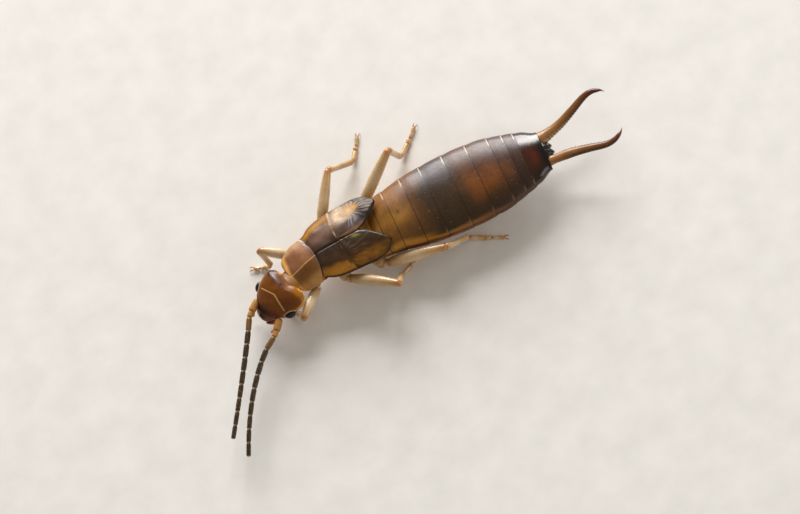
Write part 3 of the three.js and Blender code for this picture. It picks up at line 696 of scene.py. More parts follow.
def build_skin(settings):
    """The soft underside and flanks of the thorax, and the folded neck."""
    around = np.linspace(0, 2 * math.pi, 112, endpoint=False)
    x = np.linspace(-3.3, 0.16, 130)[:, None]
    crease = sum(bell(x, -place, 0.07) for place in (PROTHORAX_REAR, MESOTHORAX_REAR, 0.0))
    ends = smooth(x, -3.32, -3.1) * 0.3 + 0.7
    width = (CORE_WIDTH(x) - 0.05 * crease) * ends
    top = (TRUNK_TOP(x) - 0.16 - 0.25 * smooth(x, -0.3, 0.1)) * ends
    belly = (TRUNK_BELLY(x) - 0.06 * crease) * ends
    rings = section(np.broadcast_to(x, (len(x), len(around))), around, width, top, belly)
    wrinkle = 0.012 * waves(rings, 31, 0.12) * bell(np.degrees(around), 110, 40)
    rings = rings + UP * wrinkle[..., None]
    plate = smooth(np.degrees(np.minimum(around, 2 * math.pi - around)), 128, 140)
    colour = coats(
        rings.shape[:2],
        settings.skin[:],
        (srgb(186, 134, 66), plate * np.ones_like(x)),
        (srgb(120, 74, 30), 0.6 * crease * np.ones(len(around))),
    )
    piece = Piece()
    piece.tube(rings, colour)
    start = bend(-2.8, 0, AXIS_HEIGHT - 0.08)
    neck = smooth_line([start, in_head((0.55, 0, 0.0)), in_head((0.2, 0, 0.0))], 60)
    share = np.linspace(0, 1, 60)
    folds = np.cos(share * 2 * math.pi * 9)
    ring = 1 + 0.006 * folds
    tube = rings_along(neck, (0.5 - 0.04 * share) * ring, (0.26 + 0.01 * share) * ring, 64)
    neck_colour = coats(
        tube.shape[:2],
        srgb(166, 108, 28),
        # A lighter tint, stronger on the crests of the folds: partly the neck's own colour, partly painted
        # light.
        (srgb(190, 134, 50), 0.2 + 0.1 * folds[:, None]),
        (srgb(120, 72, 14), 0.7 * smooth(share, 0.2, 0.5)[:, None]),
    )
    piece.tube(tube, neck_colour)
    soft = shell_material("soft_skin", "skin")
    return piece.finish("thorax_skin", soft, "thorax", ["prothorax", "mesothorax", "metathorax", "neck"])


def plate_points(x, across, half, sag):
    """Points on a plate that lies over the thorax like a roof tile; `across` runs from -1 to 1."""
    lift = AXIS_HEIGHT + TRUNK_TOP(x) - sag * np.abs(across) ** 2.2
    return bend(x, across * half, lift)


def build_pronotum(settings):
    """The shield behind the head: pale clear margins, a pale midline, a dusky hind edge and right-side
    painted sheen.
    """
    u = np.sin(np.linspace(-math.pi / 2, math.pi / 2, 121))[:, None] * 0.5
    u = u + np.linspace(-1, 1, 121)[:, None] * 0.5
    along = end_heavy(91)[None, :]
    front = -THORAX_LENGTH - 0.2 + 0.27 * u**4
    rear = -PROTHORAX_REAR - RING_GAP / 2 - 0.16 * np.abs(u) ** 3
    x = front + (rear - front) * along
    half = PRONOTUM_WIDTH(along)
    edge = np.maximum(np.abs(u), np.abs(2 * along - 1)) * np.ones_like(x)
    flank = smooth(np.abs(u), 0.62, 0.95)
    top = plate_points(x, u, half, 0.26)
    mid = u + 0.14 - 0.09 * along
    dimple = bell(np.abs(mid), 0.42, 0.2) * bell(along, 0.42, 0.24)
    lift = 0.006 * bell(edge, 0.93, 0.04) - 0.006 * bell(mid, 0, 0.02) - 0.012 * dimple
    lift = lift - 0.03 * smooth(edge, 0.95, 1.0) + 0.004 * waves(top, 41, 0.25)
    top = top + UP * lift[..., None]
    bottom = top - UP * (0.05 + 0.09 * (1 - smooth(edge, 0.6, 1.0)))[..., None]
    blur = 0.04 * waves(top, 42, 0.3)
    front_band = bell(along, 0.03 + 0.08 * smooth(u, -0.2, 0.7), 0.065)
    rear_band = smooth(along + blur, 0.9 - 0.12 * smooth(u, -0.2, 0.3), 1.0)
    sheen_on_right = smooth(mid, -0.05, 0.1)
    cover = coats(
        x.shape,
        settings.shield[:],
        # The right half is painted lighter, and pinker towards its hind corner: painted sheen.
        (srgb(150, 100, 66), sheen_on_right),
        (srgb(182, 136, 108), 0.85 * sheen_on_right * smooth(along + u + blur, 0.9, 1.4)),
        (srgb(106, 68, 26), 0.8 * spot(mid, along, (-0.16, 0.5), (0.12, 0.5))),
        (srgb(196, 146, 82), 0.85 * smooth(-u + blur, 0.5, 0.86)),
        (srgb(200, 158, 112), 0.8 * smooth(u + blur, 0.62, 0.92)),
        (srgb(120, 96, 92), 0.75 * rear_band),
        (srgb(100, 64, 30), 0.5 * bell(along, 0.15 + 0.09 * smooth(u, -0.2, 0.7), 0.05) * (1 - flank)),
        (srgb(226, 166, 78), 0.95 * front_band),
        (srgb(222, 172, 112), 0.9 * bell(mid, 0, 0.022) * smooth(along, 0.04, 0.1)),
        (srgb(96, 66, 48), 0.5 * smooth(along, 0.975, 1.0)),
    )
    piece = Piece()
    piece.slab(top, bottom, cover, np.broadcast_to(srgb(150, 104, 58), cover.shape))
    shell = shell_material("shield_shell", "shield")
    return piece.finish("pronotum_shield", shell, "pronotum", ["pronotum"])


def pad_grid(side, front, rear, rows=101, columns=121):
    """Shares across and along a wing pad, and the places along the trunk that they stand for."""
    across = end_heavy(rows)[:, None]
    along = end_heavy(columns)[None, :]
    x = front(across) + (rear(across) - front(across)) * along
    inner = RING_GAP / 4 / PAD_WIDTH(x)
    u = side * (inner + (1 - inner) * across)
    return across * np.ones_like(x), along * np.ones_like(x), x, u


def fore_pad_front(across):
    """Where a fore-wing pad begins along the trunk."""
    return -PROTHORAX_REAR + RING_GAP / 2 - 0.16 * across**3


def fore_pad_rear(across):
    """Where a fore-wing pad ends along the trunk."""
    return -MESOTHORAX_REAR - RING_GAP / 2 - 0.1 + 0.14 * across**2


def build_fore_pad(settings, name, side):
    """A fore-wing pad: dark towards the middle, an amber band outside it, and a thin dark rim."""
    tucked, spare = 0.1, 0.07
    across, along, x, u = pad_grid(
        side,
        lambda share: fore_pad_front(share) - tucked,
        lambda share: fore_pad_rear(share) + spare,
    )
    edge = np.maximum(np.abs(2 * across - 1), 2 * along - 1)
    top = plate_points(x, u, PAD_WIDTH(x), 0.2)
    lift = 0.006 * bell(across, 0.62, 0.06) + 0.008 * bell(across, 0.95, 0.03)
    lift = lift - 0.035 * smooth(across, 0.97, 1.0)
    lift = lift - 0.02 * (1 - smooth(along, 0, 0.12)) - 0.012 * (1 - smooth(across, 0, 0.05))
    lift = lift + 0.006 * smooth(along, 0.85, 0.95) - 0.006 * smooth(along, 0.99, 1.0)
    lift = lift + 0.005 * waves(top, 51 + side, 0.3)
    top = top + UP * lift[..., None]
    bottom = top - UP * (0.05 + 0.1 * (1 - smooth(edge, 0.5, 1.0)))[..., None]
    blur = 0.04 * waves(top, 61, 0.3)
    crease = spot(across, along, (0.0, 0.35), (0.16, 0.35))
    if side > 0:
        cover = coats(
            x.shape,
            srgb(96, 66, 50),
            (srgb(56, 34, 20), 0.85 * (1 - smooth(across + blur, 0.02, 0.4))),
            # A pale mauve-grey patch towards the hind edge: painted sheen.
            (srgb(150, 126, 108), 0.8 * spot(across, along, (0.6, 0.85), (0.22, 0.3))),
            (srgb(122, 78, 56), 0.7 * spot(across, along, (0.45, 0.35), (0.16, 0.25))),
            (settings.pad_amber[:], smooth(across + 0.5 * blur, 0.64, 0.74)),
            (srgb(196, 142, 56), 0.6 * bell(across, 0.84, 0.06) * (1 - smooth(along, 0.7, 1.0))),
            (srgb(64, 40, 24), 0.8 * smooth(across, 0.965, 0.99)),
            # A cream-white spot at the outer hind corner: painted highlight.
            (srgb(250, 230, 196), 0.9 * spot(across, along, (0.9, 0.985), (0.06, 0.03))),
            # The pale hind edge: partly the edge's own colour, partly painted highlight.
            (srgb(186, 158, 140), 0.8 * smooth(along, 0.945, 0.965) * smooth(across, 0.06, 0.2)),
            (srgb(40, 26, 14), 0.6 * crease),
        )
    else:
        cover = coats(
            x.shape,
            settings.pad_dark[:],
            (srgb(74, 48, 28), 0.7 * bell(across + blur, 0.42, 0.14)),
            (settings.pad_amber[:], smooth(across + 0.7 * blur, 0.56, 0.74)),
            (srgb(176, 124, 44), 0.5 * bell(across, 0.84, 0.06)),
            (srgb(40, 20, 6), 0.9 * smooth(across, 0.95, 0.985)),
            (srgb(140, 92, 52), 0.7 * smooth(along, 0.955, 0.975) * smooth(across, 0.1, 0.25)),
            (srgb(36, 24, 12), 0.7 * crease),
        )
    piece = Piece()
    piece.slab(top, bottom, cover, np.broadcast_to(srgb(110, 74, 40), cover.shape))
    shell = shell_material("fore_pad_shell_" + name, "fore_pad")
    return piece.finish("fore_pad_" + name, shell, "fore_wing_pad", ["fore_wing_pad_" + name])


def build_hind_pad(settings, name, side):
    """A hind-wing pad: rays of folded wing run back to a dark rim round its tip."""
    tucked = 0.02
    across, along, x, u = pad_grid(side, lambda share: fore_pad_rear(share) - tucked, HIND_PAD_REAR, 141, 121)
    edge = np.maximum(np.abs(2 * across - 1), 2 * along - 1)
    top = plate_points(x, u, PAD_WIDTH(x), 0.2)
    outer = np.maximum(2 * across - 1, 2 * along - 1)
    root = (0.64, 0.4) if side > 0 else (0.5, -0.2)
    way = np.degrees(np.arctan2(across - root[0], np.maximum(along - root[1], 0.02)))
    spread = np.hypot(across - root[0], along - root[1])
    rays = 0.5 + 0.5 * np.cos(2 * math.pi * way / 13 + 1.2 * waves(top, 72, 0.25))
    open_part = smooth(spread, 0.1, 0.3) * (1 - smooth(outer, 0.84, 0.97))
    lift = 0.006 * rays * open_part + 0.008 * bell(outer, 0.92, 0.035) - 0.04 * smooth(outer, 0.95, 1.0)
    lift = lift - 0.02 * (1 - smooth(along, 0.04, 0.14)) + 0.005 * waves(top, 71 + side, 0.3)
    lift = lift + 0.04 * open_part * bell(across, 0.45, 0.3) - 0.02 * (1 - smooth(across, 0, 0.04))
    top = top + UP * lift[..., None]
    bottom = top - UP * (0.05 + 0.05 * (1 - smooth(edge, 0.5, 1.0)))[..., None]
    blur = 0.05 * waves(top, 81, 0.2)
    rim = np.maximum(smooth(across, 0.955, 0.985), smooth(along, 0.94, 0.975))
    if side > 0:
        dark_tip = smooth(along + 0.16 * rays + blur, 0.66, 0.8) * smooth(across, 0.1, 0.3)
        cover = coats(
            x.shape,
            srgb(132, 104, 84),
            (srgb(84, 66, 66), 0.85 * spot(across, along, (0.28, 0.8), (0.22, 0.34))),
            (srgb(58, 40, 34), 0.95 * spot(across + blur, along, (0.1, 0.28), (0.24, 0.28))),
            # The cream-beige patch is painted sheen; the pale golden one after it is partly the pad's own
            # colour, partly painted sheen.
            (srgb(226, 196, 164), 0.9 * spot(across + blur, along, (0.72, 0.24), (0.24, 0.2))),
            (srgb(222, 176, 116), 0.9 * spot(across, along + blur, (0.68, 0.46), (0.14, 0.18))),
            (srgb(214, 148, 56), 0.8 * spot(across, along, (0.74, 0.6), (0.08, 0.1))),
            (srgb(34, 22, 16), 0.97 * dark_tip),
            (srgb(150, 112, 70), 0.3 * rays * smooth(along, 0.74, 0.8) * smooth(across, 0.3, 0.5)),
            # Pale blue-grey rays: painted sheen on the folded wing.
            (srgb(180, 184, 204), 0.75 * rays * spot(across, along, (0.32, 0.56), (0.12, 0.14))),
            (srgb(140, 92, 40), 0.7 * bell(across, 0.04, 0.03) * smooth(along, 0.1, 0.3)),
            (srgb(20, 10, 8), 0.95 * rim),
        )
    else:
        amber = spot(across + blur, along, (0.8, 0.45), (0.18, 0.46))
        tip_glint = (1 - smooth(across, 0.05, 0.15)) * smooth(along + blur, 0.82, 0.92)
        cover = coats(
            x.shape,
            settings.pad_dark[:],
            (srgb(72, 50, 28), 0.5 * rays * bell(across, 0.45, 0.2)),
            (srgb(140, 92, 22), 0.95 * np.minimum(1.3 * amber, 1) * (1 - 0.2 * rays)),
            # A yellow-green spot by the inner edge and a blue-white patch at the inner hind corner: painted
            # glints.
            (srgb(150, 148, 60), 0.8 * spot(across, along, (0.1, 0.62), (0.05, 0.12))),
            (srgb(190, 200, 214), 0.8 * tip_glint),
            (srgb(28, 12, 6), 0.95 * rim * smooth(across, 0.2, 0.35)),
        )
    piece = Piece()
    piece.slab(top, bottom, cover, np.broadcast_to(srgb(96, 66, 40), cover.shape))
    shell = shell_material("hind_pad_shell_" + name, "hind_pad")
    return piece.finish("hind_pad_" + name, shell, "hind_wing_pad", ["hind_wing_pad_" + name])


def build_head(settings):
    """The head capsule, with its forked line, eye rims, sockets and face."""
    around = np.linspace(0, 2 * math.pi, 176, endpoint=False)
    x = HEAD_REAR + (HEAD_TIP - HEAD_REAR) * end_heavy(150)[:, None]
    close = np.array([0.1, 0.35, 0.6, 0.8, 0.93])[:, None]
    x = np.vstack([np.full((5, 1), HEAD_REAR), x])
    size = np.vstack([close, np.ones((150, 1))])
    y = squarer(np.sin(around), 0.9) * HEAD_WIDTH(x) * size
    up = squarer(np.cos(around), 0.9) * size
    z = up * np.where(up > 0, HEAD_TOP(x), HEAD_BOTTOM(x))
    notch = 0.12 * bell(y, 0, 0.36) * smooth(x, 0.35, HEAD_REAR)
    local = np.stack([x * np.ones_like(y) - notch, y, z], axis=-1)
    outward = unit(local - np.array([0.1, 0, 0]))
    flat = local[..., :2]
    side = np.abs(local[..., 1])
    upper = smooth(local[..., 2], 0.0, 0.1)
    arms = np.minimum(*(stroke(flat, FORK, end) for end in FORK_ENDS))
    fork = upper * bell(arms, 0, 0.018)
    stem = upper * bell(stroke(flat, FORK, PIT), 0, 0.016)
    mirrored = np.abs(local) * [0, 1, 0] + local * [1, 0, 1]
    eye = np.linalg.norm((mirrored - EYE_PLACE) @ eye_turn(-1) / EYE_RADII, axis=-1)
    socket = np.linalg.norm(mirrored - SOCKET, axis=-1)
    x, y = local[..., 0], local[..., 1]
    pit = upper * spot(x, y, PIT, (0.035, 0.06))
    face = bell(x, -0.5, 0.025) * upper * (side < 0.4)
    brow = bell(side, 0.42, 0.12) * bell(x, -0.1, 0.16) * upper
    lift = -0.008 * fork - 0.003 * stem - 0.05 * (1 - smooth(eye, 0.9, 1.12)) + 0.02 * bell(eye, 1.22, 0.08)
    lift = lift + 0.03 * bell(socket, 0.17, 0.035) - 0.05 * (1 - smooth(socket, 0.1, 0.15)) - 0.008 * pit
    lift = lift - 0.004 * face + 0.004 * brow + 0.004 * waves(local, 91, 0.2)
    points = in_head(local + outward * lift[..., None])
    behind = x + notch
    blur = 0.05 * waves(local, 92, 0.25)
    front = 1 - smooth(x + blur, -0.5, -0.25)
    skirt = (1 - smooth(up, 0.2, 0.36)) * smooth(x, 0.15, 0.35) * (y < 0)
    rim = np.maximum(smooth(behind, 0.84, 0.88) * smooth(np.abs(y), 0.36, 0.5) * (y < 0.7), skirt)
    crown = smooth(behind + blur, 0.42, 0.62)
    colour = coats(
        side.shape,
        settings.chestnut[:],
        (srgb(96, 44, 6), 0.7 * spot(x, y, (0.25, -0.5), (0.4, 0.35))),
        # Purple-brown on the right half of the crown: partly the head's own colour, partly painted sheen.
        (srgb(84, 54, 44), 0.8 * crown * smooth(y + blur, -0.15, 0.15)),
        (srgb(36, 18, 10), 0.8 * crown * smooth(y, 0.6, 0.75)),
        # A mauve-grey streak on the right hind lobe and a mauve patch by the pit: painted sheen.
        (srgb(132, 104, 100), 0.7 * upper * spot(x - 0.16 * y, y, (0.6, 0.36), (0.08, 0.24))),
        (srgb(140, 96, 70), 0.6 * spot(x, y, (0.74, -0.1), (0.1, 0.25)) * upper),
        (srgb(160, 100, 20), 0.8 * crown * smooth(-y + blur, 0.2, 0.4) * smooth(behind, 0.6, 0.8)),
        (srgb(150, 94, 18), 0.85 * smooth(behind, 0.78, 0.86) * bell(y, 0, 0.45)),
        (srgb(64, 26, 8), 0.6 * front),
        (srgb(110, 24, 0), 0.8 * spot(x, y, (-0.42, -0.4), (0.16, 0.16))),
        (srgb(20, 12, 10), 0.85 * smooth(-x, 0.42, 0.56) * smooth(y + blur, -0.22, -0.02)),
        (srgb(150, 96, 44), 0.9 * smooth(-local[..., 2], 0.05, 0.2)),
        (srgb(60, 30, 10), 0.35 * stem),
        (srgb(250, 196, 140), 0.97 * fork),
        (srgb(60, 28, 10), 0.25 * face),
        (srgb(220, 158, 62), 0.95 * rim * smooth(local[..., 2], -0.1, 0.0)),
        (srgb(222, 188, 140), 0.95 * bell(eye, 1.23, 0.12) * smooth(local[..., 2], 0.0, 0.06)),
        (srgb(20, 10, 8), 0.9 * (1 - smooth(eye, 0.95, 1.08))),
        (srgb(180, 110, 40), 0.7 * (1 - smooth(socket, 0.13, 0.17))),
        (srgb(18, 6, 8), 0.98 * pit),
    )
    piece = Piece()
    piece.tube(points, colour)
    shell = shell_material("head_shell", "head")
    return piece.finish("head_shell", shell, "head", ["head"])


def eye_turn(side):
    """Turns rows of points so that an eye follows the slanting side of the head."""
    return np.array(Matrix.Rotation(EYE_TURN * side, 3, "Z")).T


def build_eye(name, side, material):
    """A domed compound eye, set as deep in the head as a real one."""
    centre = EYE_PLACE * [1, side, 1]

    def in_place(points):
        return in_head(points @ eye_turn(side) + centre)

    piece = Piece()
    piece.ball((0, 0, 0), EYE_RADII, srgb(12, 14, 16), in_place, rows=40, sides=64)
    return piece.finish("eye_bead_" + name, material, "eye", ["eye_" + name])


# The mouth, in the head's frame, on the animal's right side.
JAW_STOPS = ((-0.42, 0.34, -0.22), (-0.68, 0.36, -0.28), (-0.86, 0.14, -0.32))
FEELERS = (
    (
        0.055,
        (
            (-0.45, 0.2, -0.3), (-0.56, 0.4, -0.36), (-0.68, 0.53, -0.42), (-0.85, 0.56, -0.47),
            (-1.03, 0.47, -0.53),
        ),
    ),
    (
        0.045,
        ((-0.5, 0.1, -0.42), (-0.64, 0.2, -0.47), (-0.78, 0.2, -0.51), (-0.88, 0.14, -0.53)),
    ),
)


def build_mouth(settings):
    """Lips, jaws and two pairs of tasting feelers below the face."""
    piece = Piece()
    piece.ball((-0.66, 0, -0.14), (0.2, 0.3, 0.13), settings.mouth_red[:], in_head)
    piece.ball((-0.36, 0, -0.36), (0.42, 0.3, 0.12), srgb(170, 110, 50), in_head)

    def honey(share):
        joint = bell(share, 1, 0.12) + bell(share, 0, 0.12)
        return coats(share.shape, srgb(206, 158, 88), (srgb(150, 92, 40), 0.7 * joint))

    def jaw(share):
        return coats(share.shape, srgb(150, 60, 18), (srgb(36, 12, 8), smooth(share, 0.55, 0.95)))

    rows, sides = 26, 18
    share = np.linspace(0, 1, rows)
    for side in SIDES.values():
        line = smooth_line(in_head([(x, side * y, z) for x, y, z in JAW_STOPS]), rows)
        size = capped(share, 0.6, 0.13 - 0.09 * share)
        rings = rings_along(line, size, size * 0.7, sides)[1:-1]
        piece.tube(rings, jaw(share)[1:-1, None] * np.ones((1, sides, 1)))
        for thick, stops in FEELERS:
            joints = in_head([(x, side * y, z) for x, y, z in stops])
            for start, end in zip(joints, joints[1:]):
                beyond = end + (end - start) * 0.08
                piece.limb(start, beyond, lambda way: thick * (0.8 + 0.25 * way), honey, 14, 14)
    shell = shell_material("mouth_shell", "mouth")
    return piece.finish("mouth_pieces", shell, "mouthparts", ["mouthparts"])


# Antennae: a stout first joint, a short second one, then nine beads drawn out in a whip.
BEADS = 9
ANTENNA_JOINTS = {"scape": 0.52, "pedicel": 0.25, "bead": 0.522}
ANTENNA_POSE = {
    "right": {"scape_yaw": 220, "start": 244, "end": 238, "curl": 0.5},
    "left": {"scape_yaw": 235, "start": 217, "end": 247, "curl": 0.55},
}
BASE_JOINTS = 4


def antenna_joints(name, side):
    """Where the joints of an antenna lie, from its socket to its tip."""
    pose = ANTENNA_POSE[name]
    joints = [in_head(SOCKET * [1, side, 1])]

    def step(yaw, lift, length):
        yaw, lift = math.radians(yaw), math.radians(lift)
        way = [math.cos(lift) * math.cos(yaw), math.cos(lift) * math.sin(yaw), math.sin(lift)]
        joints.append(joints[-1] + length * np.array(way))

    step(pose["scape_yaw"], 4, ANTENNA_JOINTS["scape"])
    step(pose["scape_yaw"] + 0.4 * (pose["start"] - pose["scape_yaw"]), 4, ANTENNA_JOINTS["pedicel"])
    for bead in range(BEADS):
        share = bead / (BEADS - 1)
        yaw = pose["start"] + (pose["end"] - pose["start"]) * share ** pose["curl"]
        step(yaw, 2 - 6 * share, ANTENNA_JOINTS["bead"])
    return np.array(joints)


def build_antenna(settings, name, side, material):
    """One antenna in two pieces: the pale base, and the dark whip of beads with thin pale joints."""
    joints = antenna_joints(name, side)
    thick = settings.thickness / MM / 2
    pale = np.array(srgb(176, 120, 50))
    dark = np.array(settings.whip[:])

    def bead(piece, index):
        share_out = index / (len(joints) - 2)
        darkness = smooth(np.array(float(index)), 1.0, 2.6)
        radius = thick * (1 - 0.18 * smooth(np.array(share_out), 0.35, 1.0))
        if index == 0:
            radius = thick * 1.35

        def size(share):
            waist = 0.78 + 0.22 * smooth(share, 0.02, 0.2)
            swell = (1 + 0.05 * np.sin(math.pi * share)) * (1 - 0.08 * smooth(share, 0.92, 1))
            return radius * waist * swell

        def shade(share):
            joint = 1 - smooth(share, 0.04, 0.09) + smooth(share, 0.94, 0.98)
            body = coats(share.shape, pale, (dark, 0.97 * darkness * np.ones_like(share)))
            return coats(share.shape, body, (srgb(176, 140, 96), 0.8 * joint))

        start, end = joints[index], joints[index + 1]
        piece.limb(start, end + (end - start) * 0.04, size, shade, 18, 30, blunt=0.4)

    base = Piece()
    for index in range(BASE_JOINTS):
        bead(base, index)
    whip = Piece()
    for index in range(BASE_JOINTS, len(joints) - 1):
        bead(whip, index)
    nodes = [f"antenna_scape_{name}", f"antenna_base_{name}"]
    made = [base.finish("antenna_base_joints_" + name, material, "antenna_base", nodes)]
    nodes = [f"antenna_middle_{name}", f"antenna_tip_{name}"]
    made.append(whip.finish("antenna_whip_" + name, material, "antenna_whip", nodes))
    return made


# Legs. Angles are measured from the tail towards the leg's own side; `rise` lifts the femur.
LEGS = {
    "fore": {"root": (-2.55, 0.72, 0.68), "coxa": -2.6, "femur": 1.45, "tibia": 0.94, "tarsus": 0.74},
    "mid": {"root": (-1.45, 1.08, 0.74), "coxa": -1.5, "femur": 2.27, "tibia": 1.5, "tarsus": 1.15},
    "hind": {"root": (0.05, 1.16, 0.56), "coxa": -0.35, "femur": 2.5, "tibia": 1.38, "tarsus": 1.4},
}
LEG_POSE = {
    "fore_right": {"femur": 150, "rise": 18, "tibia": -63, "tarsus": 158},
    "fore_left": {"femur": 131, "rise": 13, "tibia": -101, "tarsus": -134},
    "mid_right": {"femur": 57.5, "rise": 15, "tibia": 23, "tarsus": 60},
    "mid_left": {"femur": 41, "rise": 19, "tibia": -75, "tarsus": -30},
    "hind_right": {"femur": 34, "rise": 24, "tibia": 30, "tarsus": 46},
    "hind_left": {"femur": 17.5, "rise": 14.5, "tibia": -25, "tarsus": 25},
}
ANKLE_HEIGHT = 0.253
FEMUR_SIZE = {"fore": 0.215, "mid": 0.225, "hind": 0.24}
FEMUR_CREAM = {"fore": 0.7, "mid": 0.35, "hind": 0.5}

# A foot's joints, as shares of its length, with their heights, and the half widths of the lengths between.
FOOT_JOINTS = ((0.0, 0.2), (0.42, 0.085), (0.58, 0.085), (0.92, 0.075))
FOOT_WIDTHS = (0.1, 0.106, 0.078)

# A claw's line from the toe: ahead, aside and up.
CLAW_STOPS = ((-0.04, 0.015, 0), (0.08, 0.06, 0.03), (0.19, 0.085, -0.055))


def step_from(start, yaw, side, flat, lift):
    """A place reached from another by a level length, at an angle from the tail, and a lift."""
    yaw = math.radians(yaw)
    return start + np.array([flat * math.cos(yaw), side * flat * math.sin(yaw), lift])


def leg_joints(pair, name, side):
    """Where a leg's joints lie: inside the body, at the hip, the knee, the ankle and the toe."""
    leg = LEGS[pair]
    pose = LEG_POSE[pair + "_" + name]
    x, y, z = leg["root"]
    inside = bend(leg["coxa"], side * 0.3, z + 0.12)
    hip = bend(x, side * y, z)
    rise = math.radians(pose["rise"])
    knee = step_from(hip, pose["femur"], side, leg["femur"] * math.cos(rise), leg["femur"] * math.sin(rise))
    drop = knee[2] - ANKLE_HEIGHT
    ankle = step_from(knee, pose["tibia"], side, math.sqrt(leg["tibia"] ** 2 - drop**2), -drop)
    toe = step_from(ankle, pose["tarsus"], side, leg["tarsus"], 0)
    return inside, hip, knee, ankle, toe


def build_leg(settings, pair, name, side, material):
    """A leg of clear honey-coloured joints, with a foot of three joints and two claws."""
    inside, hip, knee, ankle, toe = leg_joints(pair, name, side)
    honey = settings.honey[:]
    joint = settings.joint[:]
    thick = FEMUR_SIZE[pair]

    def honeyed(dusk_at, ends=0.1):
        def shade(share):
            near = np.maximum(bell(share, 0, ends), bell(share, 1, ends))
            return coats(
                share.shape,
                honey,
                (srgb(176, 124, 66), 0.35 * bell(share, dusk_at, 0.2)),
                (srgb(240, 222, 190), FEMUR_CREAM[pair] * bell(share, dusk_at - 0.14, 0.26)),
                (joint, 0.8 * near),
            )

        return shade

    piece = Piece()
    thigh = knee - hip
    shin = ankle - knee
    piece.limb(inside, hip + (hip - inside) * 0.12, lambda share: 0.3 - 0.09 * share, honeyed(0.4), 28, 28)
    piece.limb(hip - thigh * 0.03, hip + thigh * 0.13, lambda share: 0.17, honeyed(0.5, 0.3), 24, 20)
    size = profile(
        (0, 0.14), (0.1, 0.84 * thick), (0.28, thick), (0.6, 0.93 * thick), (0.86, 0.72 * thick),
        (1, 0.6 * thick),
    )
    piece.limb(hip + thigh * 0.05, knee + thigh * 0.03, size, honeyed(0.62), 30, 48, flat=0.9, arch=0.04)
    size = profile((0, 0.11), (0.08, 0.145), (0.2, 0.13), (0.7, 0.12), (0.94, 0.125), (1, 0.09))
    piece.limb(knee - shin * 0.05, ankle, size, honeyed(0.5), 24, 40, flat=0.9, arch=-0.02)
    stops = [(ankle + (toe - ankle) * share) * [1, 1, 0] + UP * height for share, height in FOOT_JOINTS]
    for start, end, width in zip(stops, stops[1:], FOOT_WIDTHS):
        size = profile((0, 0.6 * width), (0.3, 0.85 * width), (0.8, width), (1, 0.9 * width))
        piece.limb(start, end + (end - start) * 0.07, size, honeyed(0.5, 0.16), 20, 26, floor=0.0)
    ahead = unit((toe - ankle) * [1, 1, 0])
    aside = np.cross(UP, ahead)
    rows, sides = 18, 12
    share = np.linspace(0, 1, rows)
    size = capped(share, 0.3, 0.03 - 0.022 * share)
    claw = coats(share.shape, srgb(190, 120, 50), (srgb(70, 30, 12), smooth(share, 0.3, 0.9)))
    for hand in (-1, 1):
        hook = [stops[-1] + ahead * x + aside * hand * y + UP * z for x, y, z in CLAW_STOPS]
        rings = rings_along(smooth_line(hook, rows), size, size, sides)[1:-1]
        rings[..., 2] = np.maximum(rings[..., 2], 0)
        piece.tube(rings, claw[1:-1, None] * np.ones((1, sides, 1)))
    nodes = [f"{part}_{pair}_{name}" for part in ("coxa", "femur", "tibia", "tarsus")]
    return piece.finish(f"leg_{pair}_{name}", material, "leg", nodes)


# The forceps: the middle line of an arm, its half width by the share of the way, and its small teeth.
CERCUS_LINE = (
    (7.16, 0.46, 0), (7.9, 0.62, 0.12), (8.6, 0.86, 0.28), (9.15, 1.07, 0.4), (9.5, 1.1, 0.48),
    (9.8, 0.98, 0.54), (9.94, 0.84, 0.56),
)
CERCUS_SPREAD = {"left": math.radians(-2), "right": math.radians(1)}
CERCUS_SIZE = profile(
    (0, 0.31), (0.1, 0.23), (0.2, 0.19), (0.35, 0.168), (0.5, 0.152), (0.65, 0.138), (0.8, 0.112),
    (0.9, 0.08), (1, 0.012),
)
CERCUS_NARROWER = {"left": 0.36, "right": 0.0}
CERCUS_SUNK = 0.12
TEETH = 26


